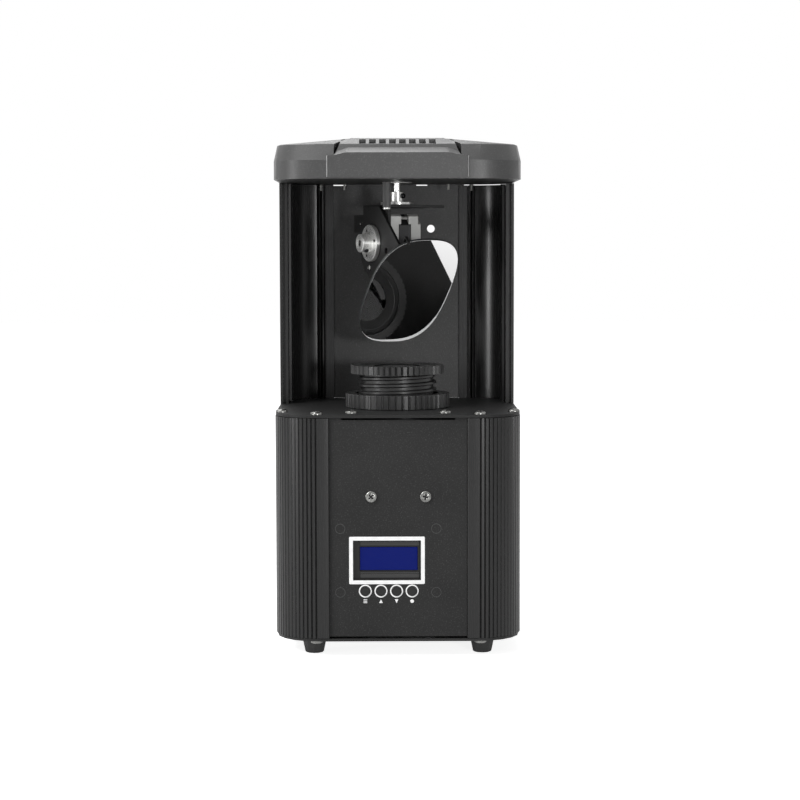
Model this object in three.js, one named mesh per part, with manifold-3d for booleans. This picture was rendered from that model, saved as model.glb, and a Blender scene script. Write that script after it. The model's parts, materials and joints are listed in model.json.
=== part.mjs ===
// LED scanner light: a base with the light engine, an open tower with a pan and tilt mirror, and a cap.
// Millimetres, +Z up, front faces -Y, origin on the floor under the middle of the body.
import * as THREE from 'three';
import * as BufferGeometryUtils from 'three/addons/utils/BufferGeometryUtils.js';
import { ConvexGeometry } from 'three/addons/geometries/ConvexGeometry.js';
import Module from 'manifold-3d';

const wasm = await Module();
wasm.setup();

// Driving dimensions
const body = { width: 175, depth: 170, cornerRadius: 32, sheet: 2, panelSheet: 1.5 };
const level = { baseBottom: 11.7, deckTop: 172, towerTop: 336.9, bandTop: 351, shoulder: 361, capTop: 366 };
const fit = 0.3;
const seat = 0.05;
const overrun = 5;
const weld = 0.4;

// Corner extrusion section
const leg = { across: 39, along: 62, wall: 3.2, lip: 2, slotDepth: 4.2, endLength: 6, endRound: 1.2 };
const flute = { pitch: 3.15, depth: 0.8, crestShare: 0.55, valleyShare: 0.78, endMargin: 2.5 };
const channel = { outer: 3, bore: 1.9, slot: 1.6, inset: 5.6, acrossInset: 29.5, along: 32 };
const bottomGap = 3.4;
const topSlot = { halfLength: 40, height: 1.2 };

// The lens axis, and the pan and tilt axes, which meet behind it so that the mirror hangs over the lens
const axisY = -8;
const panY = 15;
const tiltDrop = 44.9;
const tiltZ = level.towerTop - tiltDrop;
const panRest = THREE.MathUtils.degToRad(25.7);
const tiltRest = THREE.MathUtils.degToRad(41.5);

// Cap
const cap = {
  halfDepth: 84, radius: 31, wall: 2.5, frontSlope: 9.5, sideSlope: 2.2, topHalfWidth: 34, topHalfDepth: 57,
  shoulderRadius: 27, topRadius: 8, softEdge: 1.2, ledge: 1.5, fasciaHalfWidth: 48.5, fasciaCorner: 353,
  fasciaTop: 355, fasciaDepth: 6, rampTopHalfWidth: 35, rampInset: 3.2,
  bandHalfWidth: 33, bandSetback: 25, rampHalfWidth: 44.5, rimRise: 0.8,
};
const vent = { count: 8, pitch: 7, width: 4.7, startShare: 0.45, inner: 14 };
const slit = { start: 4, length: 14, width: 3.4, outerX: 44.4, innerX: 40.2, gap: 2.2, secondShare: 0.7 };

// Base plates and feet
const plateInset = 1;
const foot = { topRadius: 9, bottomRadius: 7, x: 60, y: 60, recessRadius: 3.6, recessDepth: 5, edge: 1 };
const topPlate = { inset: 2.6 };

// Lens
const collar = { radius: 38.25, height: 10.5, bore: 30.5, spigot: 34, spigotDepth: 8, teeth: 48 };
const barrel = {
  crest: 28.7, root: 26.5, bore: 23.5, pitch: 5.2, ringRadius: 34.2, ringRise: 24.9, rise: 31, drop: 22,
  threadRise: 24.2, threadDrop: 2.3, teeth: 48, seatRadius: 28, seatDepth: 4.6, fadeShare: 0.1,
  footShare: 0.36, tipShare: 0.14, fadeRate: 6,
};
const barrelTop = level.deckTop + barrel.rise;
const barrelBottom = level.deckTop - barrel.drop;
const ringBottom = level.deckTop + barrel.ringRise;
const threadTop = level.deckTop + barrel.threadRise;
const threadBottom = level.deckTop - barrel.threadDrop;
const knurl = { depth: 1.1, crestShare: 0.5, valleyShare: 0.75 };
const glass = { edge: 1.8, rise: 1.8 };

// Pan drive
const pan = {
  pilotRadius: 11, pilotDrop: 0.5, shaftRadius: 2.5, hubRadius: 5, hubDrop: 7.2, flangeRadius: 12,
  flange: 2.1, flangeDrop: 16.6, motorLength: 22, shaftInMotor: 9, postRadius: 3.1, postX: -7.5,
  postForward: 30, postDrop: 19.5, capHeight: 1, capRim: 0.2,
};
const hubTop = level.towerTop - pan.hubDrop;
const flangeBottom = level.towerTop - pan.flangeDrop;
const postBottom = level.towerTop - pan.postDrop;

// Tilt motor, measured along its own axis from the pan axis; plus is the mirror hub's side
const motor = {
  side: 42.3, cornerCut: 1.6, front: 15.4, back: -9.1, statorFront: 8.5, statorBack: -0.9, lug: 2,
  stepCut: 8, rearStep: 2, rodRadius: 1.2, rodOffset: 18.4, pilotRadius: 11, pilot: 1.7, bearing: 5,
};

// Yoke bracket
const yoke = {
  sheet: 2, halfDepth: 21.6, inner: 16.2, tailEnd: 34.5, tailHalf: 10, drop: 50, earReach: 38,
  earTop: 21, earBottom: 8, bend: 3,
};
const yokeTop = flangeBottom - fit;
const sensor = { front: 26, back: 37, top: 20, bottom: 10, depth: 7 };

// Mirror bracket, hub and mirror, measured out from the tilt axis and up along the mirror
const bracket = {
  near: 17.9, sheet: 2, backFace: 34.4, low: -24, high: 28, innerReach: 15, holeA: 20.6, holeB: 10.9,
  holeRadius: 2.4, reach: 33.5,
};
const bracketCrownShares = [[0.287, 0.817], [0.881, 0.307]];
const bracketBackShares = [[0.751, 0.16], [0.382, -0.564], [0.157, -0.679]];
const hub = {
  flangeRadius: 13.5, flange: 3, bossRadius: 6.7, boss: 7.4, holeRing: 9.8, holeRadius: 1.15, grub: 2.25,
};
const mirrorSize = {
  halfWidth: 33.5, halfLength: 50.15, power: 2.78, thickness: 2, sideShift: 0.35, endShift: -13.15,
};
const clip = { sheet: 0.8, width: 2.2, place: 16.5, lap: 1.6, tail: 12 };

// Front panel, display and buttons
const display = {
  x: -8.1, z: 69.2, openWidth: 48, openHeight: 27.7, screenX: -6.8, screenZ: 70, screenWidth: 41,
  screenHeight: 16.9, recess: 1.6, bezel: 2.2, overlap: 3, body: 7,
};
const button = {
  count: 4, first: -23.4, pitch: 11, z: 47.4, radius: 3.3, proud: 1, flangeRadius: 4.6, flange: 1,
  length: 8.4, travel: 0.8, switchHalf: 3,
};
const board = {
  left: -46, right: 31.7, low: 41.5, high: 96.7, standoff: 12.6, sheet: 1.6, stud: 3.5, studInset: 5,
};

// Rear panel and its sockets
const fan = {
  z: 45, side: 60, depth: 15, bore: 28, hub: 12, blades: 7, bladeAngle: 35, bladeSheet: 1.4, tip: 26.6,
  axle: 2.4, strut: 3, cornerHole: 2.1, slots: 7, slotHeight: 4, slotPitch: 7, corner: 4, wall: 1,
  clearance: 1.2,
};
const inlet = {
  xShare: -0.42, zShare: 0.686, widthShare: 0.916, flangeHeight: 28, flange: 2, openWidth: 25, openHeight: 17,
  depth: 24,
};
const socket = {
  xShare: 0.458, zShare: 0.872, flangeWidth: 26, flangeHeight: 31, flange: 2, shell: 11, bore: 9.4, depth: 22,
  wall: 1.6, contact: 1.6,
};
const fuse = { capRadius: 7.5, cap: 2, bodyRadius: 6, depth: 26, slot: 1.4, slotDepth: 1 };
const sideVent = { count: 9, pitch: 9, height: 4, lengthShare: 0.52, low: 40 };

// Light engine
const sink = { side: 80, base: 5, top: 52, fins: 13, fin: 1.6, finBottom: 17 };
const led = { radius: 18.5, sheet: 1.6, dome: 9, domeHeight: 3 };
const condenser = {
  outer: 22, inner: 19, ledge: 16, ledgeTop: 9, ledgeSheet: 2, height: 20, lensEdge: 3, lensRise: 8,
};
const stack = {
  halfWidth: 49, front: -34, back: 70, lowPlate: 76, highPlate: 100, post: 3, postX: 46, frontPost: -30,
  backPost: 66, beam: 17,
};
const wheel = {
  radius: 45, offset: 35, sheet: 1.5, hub: 8, hubHeight: 5, holes: 8, colorZ: 84, goboZ: 91, colorHole: 11,
  goboHole: 9, shaft: 2.2, motorRadius: 12.5, motorLength: 20, notch: 3, shaftInMotor: 12,
};
const supply = {
  gap: 4.5, width: 26, front: -46, back: 46, boardZ: 22, sheet: 1.6, height: 34, canRadius: 8,
  canHeight: 25, stand: 3, standInset: 4.5, coilHalf: 10.4, firstCanShare: 0.16, canPitchShare: 0.22,
  coilFarShare: 0.45, coilNearShare: 0.1,
};
const mainBoard = {
  front: -46, back: 46, low: 40, high: 140, sheet: 1.6, standoff: 5, chip: 22, chipPitch: 33,
  chipRise: 4, stud: 3, inset: 8,
};

const halfWidth = body.width / 2;
const halfDepth = body.depth / 2;
const deckBottom = level.deckTop - body.sheet;
const slotWidth = body.panelSheet + 2 * fit;
const endThickness = 2 * leg.lip + slotWidth;
const panelOuter = leg.lip + fit;
const panelInner = panelOuter + body.panelSheet;
const extrusionBottom = level.baseBottom + body.sheet + fit;
const panelHalf = halfWidth - leg.across + leg.slotDepth - fit;
const sidePanelHalf = halfDepth - leg.along + leg.slotDepth - fit;
const inletX = panelHalf * inlet.xShare;
const inletZ = level.deckTop * inlet.zShare;
const inletWidth = panelHalf * inlet.widthShare;
const socketX = panelHalf * socket.xShare;
const socketZ = level.deckTop * socket.zShare;

// Facets of round pieces, from large rings down to small bores
const facets = { ring: 26, thread: 18, round: 16, small: 10, bore: 6, corner: 4 };

const fullTurn = 2 * Math.PI;
const quarterTurn = Math.PI / 2;

// Shapes, all as closed solids that manifold-3d joins and cuts
function solidOf(geometry) {
  const plain = geometry.index ? geometry.toNonIndexed() : geometry.clone();
  plain.deleteAttribute('normal');
  plain.deleteAttribute('uv');
  const merged = BufferGeometryUtils.mergeVertices(plain);
  const corners = merged.index.array;
  const kept = [];
  for (let i = 0; i < corners.length; i += 3) {
    const [a, b, c] = [corners[i], corners[i + 1], corners[i + 2]];
    if (a !== b && b !== c && c !== a) kept.push(a, b, c);
  }
  const vertProperties = new Float32Array(merged.attributes.position.array);
  return new wasm.Manifold(new wasm.Mesh({ numProp: 3, vertProperties, triVerts: new Uint32Array(kept) }));
}

function geometryOf(solid) {
  const mesh = solid.getMesh();
  const geometry = new THREE.BufferGeometry();
  geometry.setAttribute('position', new THREE.BufferAttribute(new Float32Array(mesh.vertProperties), 3));
  geometry.setIndex(new THREE.BufferAttribute(new Uint32Array(mesh.triVerts), 1));
  geometry.computeVertexNormals();
  return geometry;
}

function join(...solids) {
  return solids.reduce((whole, piece) => whole.add(piece));
}

function cut(solid, ...tools) {
  return tools.reduce((whole, tool) => whole.subtract(tool), solid);
}

function block([x0, x1], [y0, y1], [z0, z1]) {
  const box = new THREE.BoxGeometry(x1 - x0, y1 - y0, z1 - z0);
  return solidOf(box.translate((x0 + x1) / 2, (y0 + y1) / 2, (z0 + z1) / 2));
}

function around(half, centre = 0) {
  return [centre - half, centre + half];
}

// A prism stands on an outline in the XY plane, from z0 to z1
function prismGeometry(points, z0, z1) {
  const shape = new THREE.Shape(points.map(([x, y]) => new THREE.Vector2(x, y)));
  return new THREE.ExtrudeGeometry(shape, { depth: z1 - z0, bevelEnabled: false }).translate(0, 0, z0);
}

function prism(points, z0, z1) {
  return solidOf(prismGeometry(points, z0, z1));
}

// The outline is drawn as seen from the front, x to the right and z up, and runs from y0 back to y1
function frontPrism(points, y0, y1) {
  return solidOf(prismGeometry(points, 0, y1 - y0).rotateX(quarterTurn).translate(0, y1, 0));
}

// The outline is drawn as y and z, and runs from x0 to x1
function sidePrism(points, x0, x1) {
  return solidOf(prismGeometry(points, x0, x1).rotateX(quarterTurn).rotateZ(quarterTurn));
}

function latheGeometry(profile, steps) {
  const points = profile.map(([r, z]) => new THREE.Vector2(r, z));
  return new THREE.LatheGeometry(points, steps).rotateX(quarterTurn);
}

// A turned piece stands on the Z axis moved to x and y
function turned(profile, steps, x = 0, y = 0) {
  return solidOf(latheGeometry(profile, steps).translate(x, y, 0));
}

function rod(radius, z0, z1, steps, x = 0, y = 0) {
  return turned([[0, z0], [radius, z0], [radius, z1], [0, z1]], steps, x, y);
}

// A rod along Y, and one along X
function rodY(radius, y0, y1, steps, x, z) {
  const profile = [[0, y0], [radius, y0], [radius, y1], [0, y1]];
  return solidOf(latheGeometry(profile, steps).rotateX(-quarterTurn).translate(x, 0, z));
}

function rodX(radius, x0, x1, steps, y, z) {
  const profile = [[0, x0], [radius, x0], [radius, x1], [0, x1]];
  return solidOf(latheGeometry(profile, steps).rotateY(quarterTurn).translate(0, y, z));
}

function arcPoints(cx, cy, radius, from, to, steps) {
  return Array.from({ length: steps + 1 }, (_, i) => {
    const angle = from + ((to - from) * i) / steps;
    return [cx + radius * Math.cos(angle), cy + radius * Math.sin(angle)];
  });
}

function roundedOutline(halfX, halfY, radius, steps) {
  const corners = [[1, 1], [-1, 1], [-1, -1], [1, -1]];
  return corners.flatMap(([sx, sy], i) => {
    const from = i * quarterTurn;
    return arcPoints(sx * (halfX - radius), sy * (halfY - radius), radius, from, from + quarterTurn, steps);
  });
}

// A skin between rings of equally many points, closed by flat fans at both ends
function loft(rings) {
  const count = rings[0].length;
  const vertices = rings.flat().flat();
  const faces = [];
  for (let r = 0; r + 1 < rings.length; r += 1) {
    for (let i = 0; i < count; i += 1) {
      const [a, b] = [r * count + i, r * count + ((i + 1) % count)];
      faces.push(a, b, b + count, a, b + count, a + count);
    }
  }
  const last = (rings.length - 1) * count;
  for (let i = 1; i + 1 < count; i += 1) {
    faces.push(0, i + 1, i, last, last + i, last + i + 1);
  }
  const geometry = new THREE.BufferGeometry();
  geometry.setAttribute('position', new THREE.Float32BufferAttribute(vertices, 3));
  geometry.setIndex(faces);
  return solidOf(geometry);
}

function ringAt(outline, z) {
  return outline.map(([x, y]) => [x, y, z]);
}

function hull(points) {
  return solidOf(new ConvexGeometry(points.map(([x, y, z]) => new THREE.Vector3(x, y, z))));
}

function mirroredAcross(solid, axis) {
  const mesh = solid.getMesh();
  const vertices = new Float32Array(mesh.vertProperties);
  for (let i = axis; i < vertices.length; i += 3) vertices[i] = -vertices[i];
  const faces = new Uint32Array(mesh.triVerts);
  for (let i = 0; i < faces.length; i += 3) [faces[i], faces[i + 1]] = [faces[i + 1], faces[i]];
  return new wasm.Manifold(new wasm.Mesh({ numProp: 3, vertProperties: vertices, triVerts: faces }));
}

const acrossX = (solid) => mirroredAcross(solid, 0);
const acrossY = (solid) => mirroredAcross(solid, 1);

// Finishes
const finish = {
  anodised: { color: 0x3a3a3c, roughness: 0.45, metalness: 0.6 },
  powderCoat: { color: 0x36373a, roughness: 0.75, metalness: 0.1 },
  blackSheet: { color: 0x232325, roughness: 0.6, metalness: 0.3 },
  capPlastic: { color: 0x4c4d50, roughness: 0.6, metalness: 0 },
  rubber: { color: 0x2b2b2b, roughness: 0.9, metalness: 0 },
  lensPlastic: { color: 0x38393b, roughness: 0.55, metalness: 0 },
  lensGlass: { color: 0xaebcc4, roughness: 0.05, metalness: 0 },
  brightSteel: { color: 0xc9c9c9, roughness: 0.3, metalness: 1 },
  turnedAluminium: { color: 0xbdbdbd, roughness: 0.35, metalness: 1 },
  castAluminium: { color: 0xa6a6a6, roughness: 0.5, metalness: 0.8 },
  lamination: { color: 0x262626, roughness: 0.6, metalness: 0.4 },
  blackPlastic: { color: 0x1d1d1f, roughness: 0.5, metalness: 0 },
  mirrorGlass: { color: 0xd8dce0, roughness: 0.02, metalness: 1 },
  circuitBoard: { color: 0x1f5a38, roughness: 0.6, metalness: 0 },
  blueScreen: { color: 0x1a2352, roughness: 0.2, metalness: 0 },
  clearGlass: { color: 0xdfe8ea, roughness: 0.05, metalness: 0 },
};
const materials = Object.fromEntries(
  Object.entries(finish).map(([name, values]) => [name, new THREE.MeshStandardMaterial(values)]),
);

const scanner = new THREE.Group();
const yokeGroup = new THREE.Group();
const mirrorGroup = new THREE.Group();
yokeGroup.position.set(0, panY, tiltZ);
yokeGroup.rotation.z = panRest;
mirrorGroup.rotation.x = tiltRest;
yokeGroup.add(mirrorGroup);
scanner.add(yokeGroup);

function place(name, solid, material, parent = scanner) {
  const mesh = new THREE.Mesh(geometryOf(solid), materials[material]);
  mesh.name = name;
  parent.add(mesh);
}

// Corner extrusions: one die, with fluted outside, panel slots in both leg ends and two screw channels
const legStart = { x: halfWidth - leg.across, y: halfDepth - leg.along };
const arcCentre = { x: halfWidth - body.cornerRadius, y: halfDepth - body.cornerRadius };

function outerFace(along, depth) {
  const straight = leg.across - body.cornerRadius;
  const arcLength = body.cornerRadius * quarterTurn;
  if (along < straight) return [legStart.x + along, halfDepth - depth];
  if (along < straight + arcLength) {
    const angle = (along - straight) / body.cornerRadius;
    const radius = body.cornerRadius - depth;
    return [arcCentre.x + radius * Math.sin(angle), arcCentre.y + radius * Math.cos(angle)];
  }
  return [halfWidth - depth, arcCentre.y - (along - straight - arcLength)];
}

function flutedSection() {
  const first = leg.across - body.cornerRadius;
  const whole = first + body.cornerRadius * quarterTurn + (leg.along - body.cornerRadius);
  const count = Math.floor((whole - first - flute.endMargin) / flute.pitch);
  const lipCentre = [legStart.x + leg.endRound, halfDepth - leg.endRound];
  const lip = arcPoints(...lipCentre, leg.endRound, Math.PI, quarterTurn, 3);
  const flutes = Array.from({ length: count }, (_, i) => {
    const start = first + i * flute.pitch;
    return [
      outerFace(start, 0),
      outerFace(start + flute.pitch * flute.crestShare, 0),
      outerFace(start + flute.pitch * flute.valleyShare, flute.depth),
    ];
  }).flat();
  const end = [outerFace(first + count * flute.pitch, 0), [halfWidth, legStart.y]];
  const innerRadius = body.cornerRadius - leg.wall;
  const inner = arcPoints(arcCentre.x, arcCentre.y, innerRadius, 0, quarterTurn, facets.corner);
  const legEnds = [[halfWidth - leg.wall, legStart.y], [legStart.x, halfDepth - leg.wall]];
  return [...lip, ...flutes, ...end, legEnds[0], ...inner, legEnds[1]];
}

function cornerExtrusion(top) {
  const z = [extrusionBottom, top];
  const through = [extrusionBottom - overrun, top + overrun];
  const slotX = [halfWidth - leg.lip - slotWidth, halfWidth - leg.lip];
  const slotY = [halfDepth - leg.lip - slotWidth, halfDepth - leg.lip];
  const channelX = halfWidth - channel.inset;
  const channelY = halfDepth - channel.inset;
  const channelAlong = halfDepth - channel.along;
  const channelAcross = halfWidth - channel.acrossInset;
  const walls = join(
    prism(flutedSection(), ...z),
    block([legStart.x, legStart.x + leg.endLength], [halfDepth - endThickness, slotY[1]], z),
    block([halfWidth - endThickness, slotX[1]], [legStart.y, legStart.y + leg.endLength], z),
    rod(channel.outer, ...z, facets.small, channelAcross, channelY),
    rod(channel.outer, ...z, facets.small, channelX, channelAlong),
  );
  return cut(
    walls,
    block([legStart.x - overrun, legStart.x + leg.slotDepth], slotY, through),
    block(slotX, [legStart.y - overrun, legStart.y + leg.slotDepth], through),
    rod(channel.bore, ...through, facets.bore, channelAcross, channelY),
    rod(channel.bore, ...through, facets.bore, channelX, channelAlong),
    block(around(channel.slot / 2, channelAcross), [channelY - channel.outer - overrun, channelY], through),
    block([channelX - channel.outer - overrun, channelX], around(channel.slot / 2, channelAlong), through),
  );
}

const frontCorner = acrossY(cornerExtrusion(deckBottom - fit));
place('rear_right_extrusion', cornerExtrusion(level.towerTop - 2 * fit), 'anodised');
place('rear_left_extrusion', acrossX(cornerExtrusion(level.towerTop - seat)), 'anodised');
place('front_right_extrusion', frontCorner, 'anodised');
place('front_left_extrusion', acrossX(frontCorner), 'anodised');

// Bottom plate and deck plate
function bodyOutline(inset) {
  return roundedOutline(halfWidth - inset, halfDepth - inset, body.cornerRadius - inset, facets.corner + 1);
}

const basePlate = prism(bodyOutline(plateInset), level.baseBottom, level.baseBottom + body.sheet);
place('bottom_plate', basePlate, 'blackSheet');

function deckPlate() {
  const z = [deckBottom - overrun, level.deckTop + overrun];
  const inside = prism(bodyOutline(endThickness + fit), ...z);
  const channelAlong = halfDepth - channel.along;
  const channelAcross = halfWidth - channel.acrossInset;
  const rightCorner = join(
    cut(
      block([legStart.x - fit, halfWidth + overrun], [legStart.y - fit, halfDepth + overrun], z),
      inside,
    ),
    rod(channel.outer + 2 * fit, ...z, facets.round, channelAcross, halfDepth - channel.inset),
    rod(channel.outer + 2 * fit, ...z, facets.round, halfWidth - channel.inset, channelAlong),
  );
  return cut(
    prism(bodyOutline(fit), deckBottom, level.deckTop),
    rightCorner,
    acrossX(rightCorner),
    block(around(halfWidth), [halfDepth - panelInner - fit, halfDepth + overrun], z),
    rod(collar.spigot + fit, ...z, facets.ring, 0, axisY),
  );
}

place('deck_plate', deckPlate(), 'powderCoat');

// Panels, which slide in the slots of the extrusions
const frontFace = -halfDepth + panelOuter;
const frontInner = -halfDepth + panelInner;
const panelBottom = level.baseBottom + bottomGap;
const panelTop = deckBottom - fit;

function buttonX(index) {
  return button.first + index * button.pitch;
}

function frontPanel() {
  const through = [frontFace - overrun, frontInner + overrun];
  const holes = Array.from({ length: button.count }, (_, i) =>
    rodY(button.radius + fit, ...through, facets.small, buttonX(i), button.z));
  return cut(
    block(around(panelHalf), [frontFace, frontInner], [panelBottom, panelTop]),
    block(around(topSlot.halfLength), through, [panelTop - topSlot.height, panelTop + overrun]),
    block(around(display.openWidth / 2, display.x), through, around(display.openHeight / 2, display.z)),
    ...holes,
  );
}

function sidePanel() {
  const x = [halfWidth - panelInner, halfWidth - panelOuter];
  const slots = Array.from({ length: sideVent.count }, (_, i) => block(
    [x[0] - overrun, x[1] + overrun],
    around(sidePanelHalf * sideVent.lengthShare),
    [sideVent.low + i * sideVent.pitch, sideVent.low + i * sideVent.pitch + sideVent.height],
  ));
  return cut(block(x, around(sidePanelHalf), [panelBottom, panelTop]), ...slots);
}

const rightPanel = sidePanel();
place('front_panel', frontPanel(), 'powderCoat');
place('right_side_panel', rightPanel, 'powderCoat');
place('left_side_panel', acrossX(rightPanel), 'powderCoat');

const rearFace = -frontFace;
const rearInner = -frontInner;
const sightHole = { x: 26.7, z: 303, radius: 3 };
const topNotch = { depth: 0.8, left: -51, right: -39, farLeft: 15.5, farRight: 24 };

// Chords of a round grille, one slot for each
function grilleSlots(y) {
  return Array.from({ length: fan.slots }, (_, i) => {
    const offset = (i - (fan.slots - 1) / 2) * fan.slotPitch;
    const half = Math.sqrt(fan.bore ** 2 - (Math.abs(offset) + fan.slotHeight / 2) ** 2);
    return block(around(half), y, around(fan.slotHeight / 2, fan.z + offset));
  });
}

function rearPanel() {
  const y = [rearInner - overrun, rearFace + overrun];
  return cut(
    block(around(panelHalf), [rearInner, rearFace], [panelBottom, level.deckTop - fit]),
    ...grilleSlots(y),
    block(
      around(inlet.openWidth / 2 + inlet.flange + fit, inletX),
      y,
      around(inlet.openHeight / 2 + inlet.flange + fit, inletZ),
    ),
    rodY(socket.shell + fit, ...y, facets.round, -socketX, socketZ),
    rodY(socket.shell + fit, ...y, facets.round, socketX, socketZ),
    rodY(fuse.bodyRadius + fit, ...y, facets.small, socketX, inletZ),
  );
}

place('rear_panel', rearPanel(), 'powderCoat');
place('tower_back_panel', cut(
  block(around(panelHalf), [rearInner, rearFace], [level.deckTop, level.towerTop - seat]),
  ...[[topNotch.left, topNotch.right], [topNotch.farLeft, topNotch.farRight]].map((x) => block(
    x, [rearInner - overrun, rearFace + overrun], [level.towerTop - topNotch.depth, level.towerTop + overrun],
  )),
  rodY(sightHole.radius, rearInner - overrun, rearFace + overrun, facets.round, sightHole.x, sightHole.z),
), 'powderCoat');

// Feet, with a screw recess from below
function footAt(x, y) {
  const top = level.baseBottom - fit;
  return turned([
    [0, foot.recessDepth],
    [foot.recessRadius, foot.recessDepth],
    [foot.recessRadius, 0],
    [foot.bottomRadius - foot.edge, 0],
    [foot.bottomRadius, foot.edge],
    [foot.topRadius, top - foot.edge],
    [foot.topRadius - foot.edge, top],
    [0, top],
  ], facets.small, x, y);
}

place('front_left_foot', footAt(-foot.x, -foot.y), 'rubber');
place('front_right_foot', footAt(foot.x, -foot.y), 'rubber');
place('rear_left_foot', footAt(-foot.x, foot.y), 'rubber');
place('rear_right_foot', footAt(foot.x, foot.y), 'rubber');

// Tower top plate and the moulded cap over it
const plateTop = level.towerTop + body.sheet;

function plateOutline(grow) {
  return roundedOutline(
    halfWidth - topPlate.inset + grow,
    cap.halfDepth - topPlate.inset + grow,
    cap.radius - topPlate.inset + grow,
    facets.corner,
  );
}

place('tower_top_plate', cut(
  prism(plateOutline(0), level.towerTop, plateTop),
  rod(pan.pilotRadius + fit, level.towerTop - overrun, plateTop + overrun, facets.round, 0, panY),
), 'blackSheet');

const front = -halfDepth;
const sides = [-1, 1];

function capRings(inset, roof) {
  const shoulderX = halfWidth - cap.sideSlope - inset;
  const shoulderY = cap.halfDepth - cap.frontSlope - inset;
  const shoulderRadius = cap.shoulderRadius - inset;
  const soft = inset > 0 ? 0 : cap.softEdge;
  const wide = roundedOutline(halfWidth - inset, cap.halfDepth - inset, cap.radius - inset, facets.corner);
  return [
    ringAt(wide, level.bandTop - soft),
    ringAt(roundedOutline(shoulderX, shoulderY, shoulderRadius, facets.corner), level.shoulder - roof),
    ringAt(
      roundedOutline(shoulderX - cap.softEdge, shoulderY - cap.softEdge, shoulderRadius, facets.corner),
      level.shoulder - roof + cap.softEdge / 2,
    ),
    ringAt(
      roundedOutline(
        cap.topHalfWidth - inset / 2, cap.topHalfDepth - inset / 2, cap.topRadius, facets.corner,
      ),
      level.capTop - roof,
    ),
  ];
}

// The raised middle ramps up from the front and rear fascias to the flat top
function ramp(inset, roof) {
  const points = sides.flatMap((sx) => sides.flatMap((sy) => [
    [sx * (cap.rampHalfWidth - inset), sy * (halfDepth - inset), cap.fasciaCorner - roof],
    [sx * (cap.rampTopHalfWidth - inset), sy * (halfDepth - inset), cap.fasciaTop - roof],
    [sx * (cap.bandHalfWidth - inset / 2), sy * (halfDepth - cap.bandSetback), level.capTop - roof],
  ]));
  return hull(points);
}

function fascia() {
  const rise = cap.fasciaTop - cap.fasciaCorner;
  const run = cap.rampHalfWidth - cap.rampTopHalfWidth;
  const curve = Array.from({ length: 6 }, (_, i) => {
    const t = i / 5;
    return [cap.rampHalfWidth - run * t, cap.fasciaCorner + (rise * (1 - Math.cos(Math.PI * t))) / 2];
  });
  const right = [
    [cap.fasciaHalfWidth, level.towerTop + cap.rimRise],
    [cap.fasciaHalfWidth, cap.fasciaCorner],
    ...curve,
  ];
  const left = right.map(([x, z]) => [-x, z]).reverse();
  return frontPrism([...right, ...left], front, front + cap.fasciaDepth);
}

function lensOutline([x0, y0], [x1, y1], width) {
  const steps = 5;
  const length = Math.hypot(x1 - x0, y1 - y0);
  const normal = [-(y1 - y0) / length, (x1 - x0) / length];
  const side = (sign) => Array.from({ length: steps }, (_, i) => {
    const t = i / steps;
    const bulge = (sign * width * Math.sin(Math.PI * t)) / 2;
    const u = sign > 0 ? t : 1 - t;
    return [x0 + (x1 - x0) * u + normal[0] * bulge, y0 + (y1 - y0) * u + normal[1] * bulge];
  });
  return [...side(1), ...side(-1)].reverse();
}

function valleySlits() {
  const z = [level.bandTop + cap.softEdge, level.capTop + overrun];
  const lean = (slit.outerX - slit.innerX) / slit.length;
  const start = front + slit.start;
  const middle = start + slit.length;
  const after = middle + slit.gap;
  const end = after + slit.length * slit.secondShare;
  const at = (y) => [slit.outerX - lean * (y - start), y];
  const one = join(
    prism(lensOutline(at(start), at(middle), slit.width), ...z),
    prism(lensOutline(at(after), at(end), slit.width * slit.secondShare), ...z),
  );
  return join(one, acrossX(one));
}

function topVents() {
  const first = front + cap.bandSetback * vent.startShare;
  return Array.from({ length: vent.count }, (_, i) => {
    const x = (i - (vent.count - 1) / 2) * vent.pitch;
    return block(around(vent.width / 2, x), [first, -vent.inner], [level.bandTop, level.capTop + overrun]);
  });
}

function capShell() {
  const wide = roundedOutline(halfWidth, cap.halfDepth, cap.radius, facets.corner);
  const ledge = topPlate.inset + fit + cap.ledge;
  const inner = roundedOutline(halfWidth - ledge, cap.halfDepth - ledge, cap.radius - ledge, facets.corner);
  const outside = join(
    loft([ringAt(wide, level.towerTop), ...capRings(0, 0)]),
    ramp(0, 0),
    fascia(),
    acrossY(fascia()),
  );
  const inside = join(
    prism(plateOutline(fit), level.towerTop - overrun, plateTop + fit),
    loft([ringAt(inner, plateTop), ...capRings(ledge, cap.wall)]),
    ramp(cap.rampInset, cap.wall),
  );
  const vents = topVents();
  return cut(outside, inside, valleySlits(), acrossY(valleySlits()), ...vents, ...vents.map(acrossY));
}

place('cap', capShell(), 'capPlastic');

// Knurled outline: teeth with flat crests and sloped flanks
function knurled(radius, teeth) {
  const step = fullTurn / teeth;
  return Array.from({ length: teeth }, (_, i) => {
    const start = i * step;
    return [
      [radius, start],
      [radius, start + step * knurl.crestShare],
      [radius - knurl.depth, start + step * knurl.valleyShare],
    ].map(([r, angle]) => [r * Math.cos(angle), axisY + r * Math.sin(angle)]);
  }).flat();
}

// Fixed collar on the deck; its lower end is the nut that the barrel's thread runs in
function lensCollar() {
  const bottom = level.deckTop - collar.spigotDepth;
  const seat = level.deckTop + fit;
  const nutBore = barrel.crest + fit;
  const ring = cut(
    prism(knurled(collar.radius, collar.teeth), seat, level.deckTop + collar.height),
    rod(collar.bore, seat - overrun, level.deckTop + collar.height + overrun, facets.ring, 0, axisY),
  );
  const spigot = turned([
    [nutBore, bottom],
    [collar.spigot, bottom],
    [collar.spigot, seat + weld],
    [nutBore, seat + weld],
    [nutBore, bottom],
  ], facets.ring, 0, axisY);
  return join(ring, spigot);
}

place('lens_collar', lensCollar(), 'lensPlastic');

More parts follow.
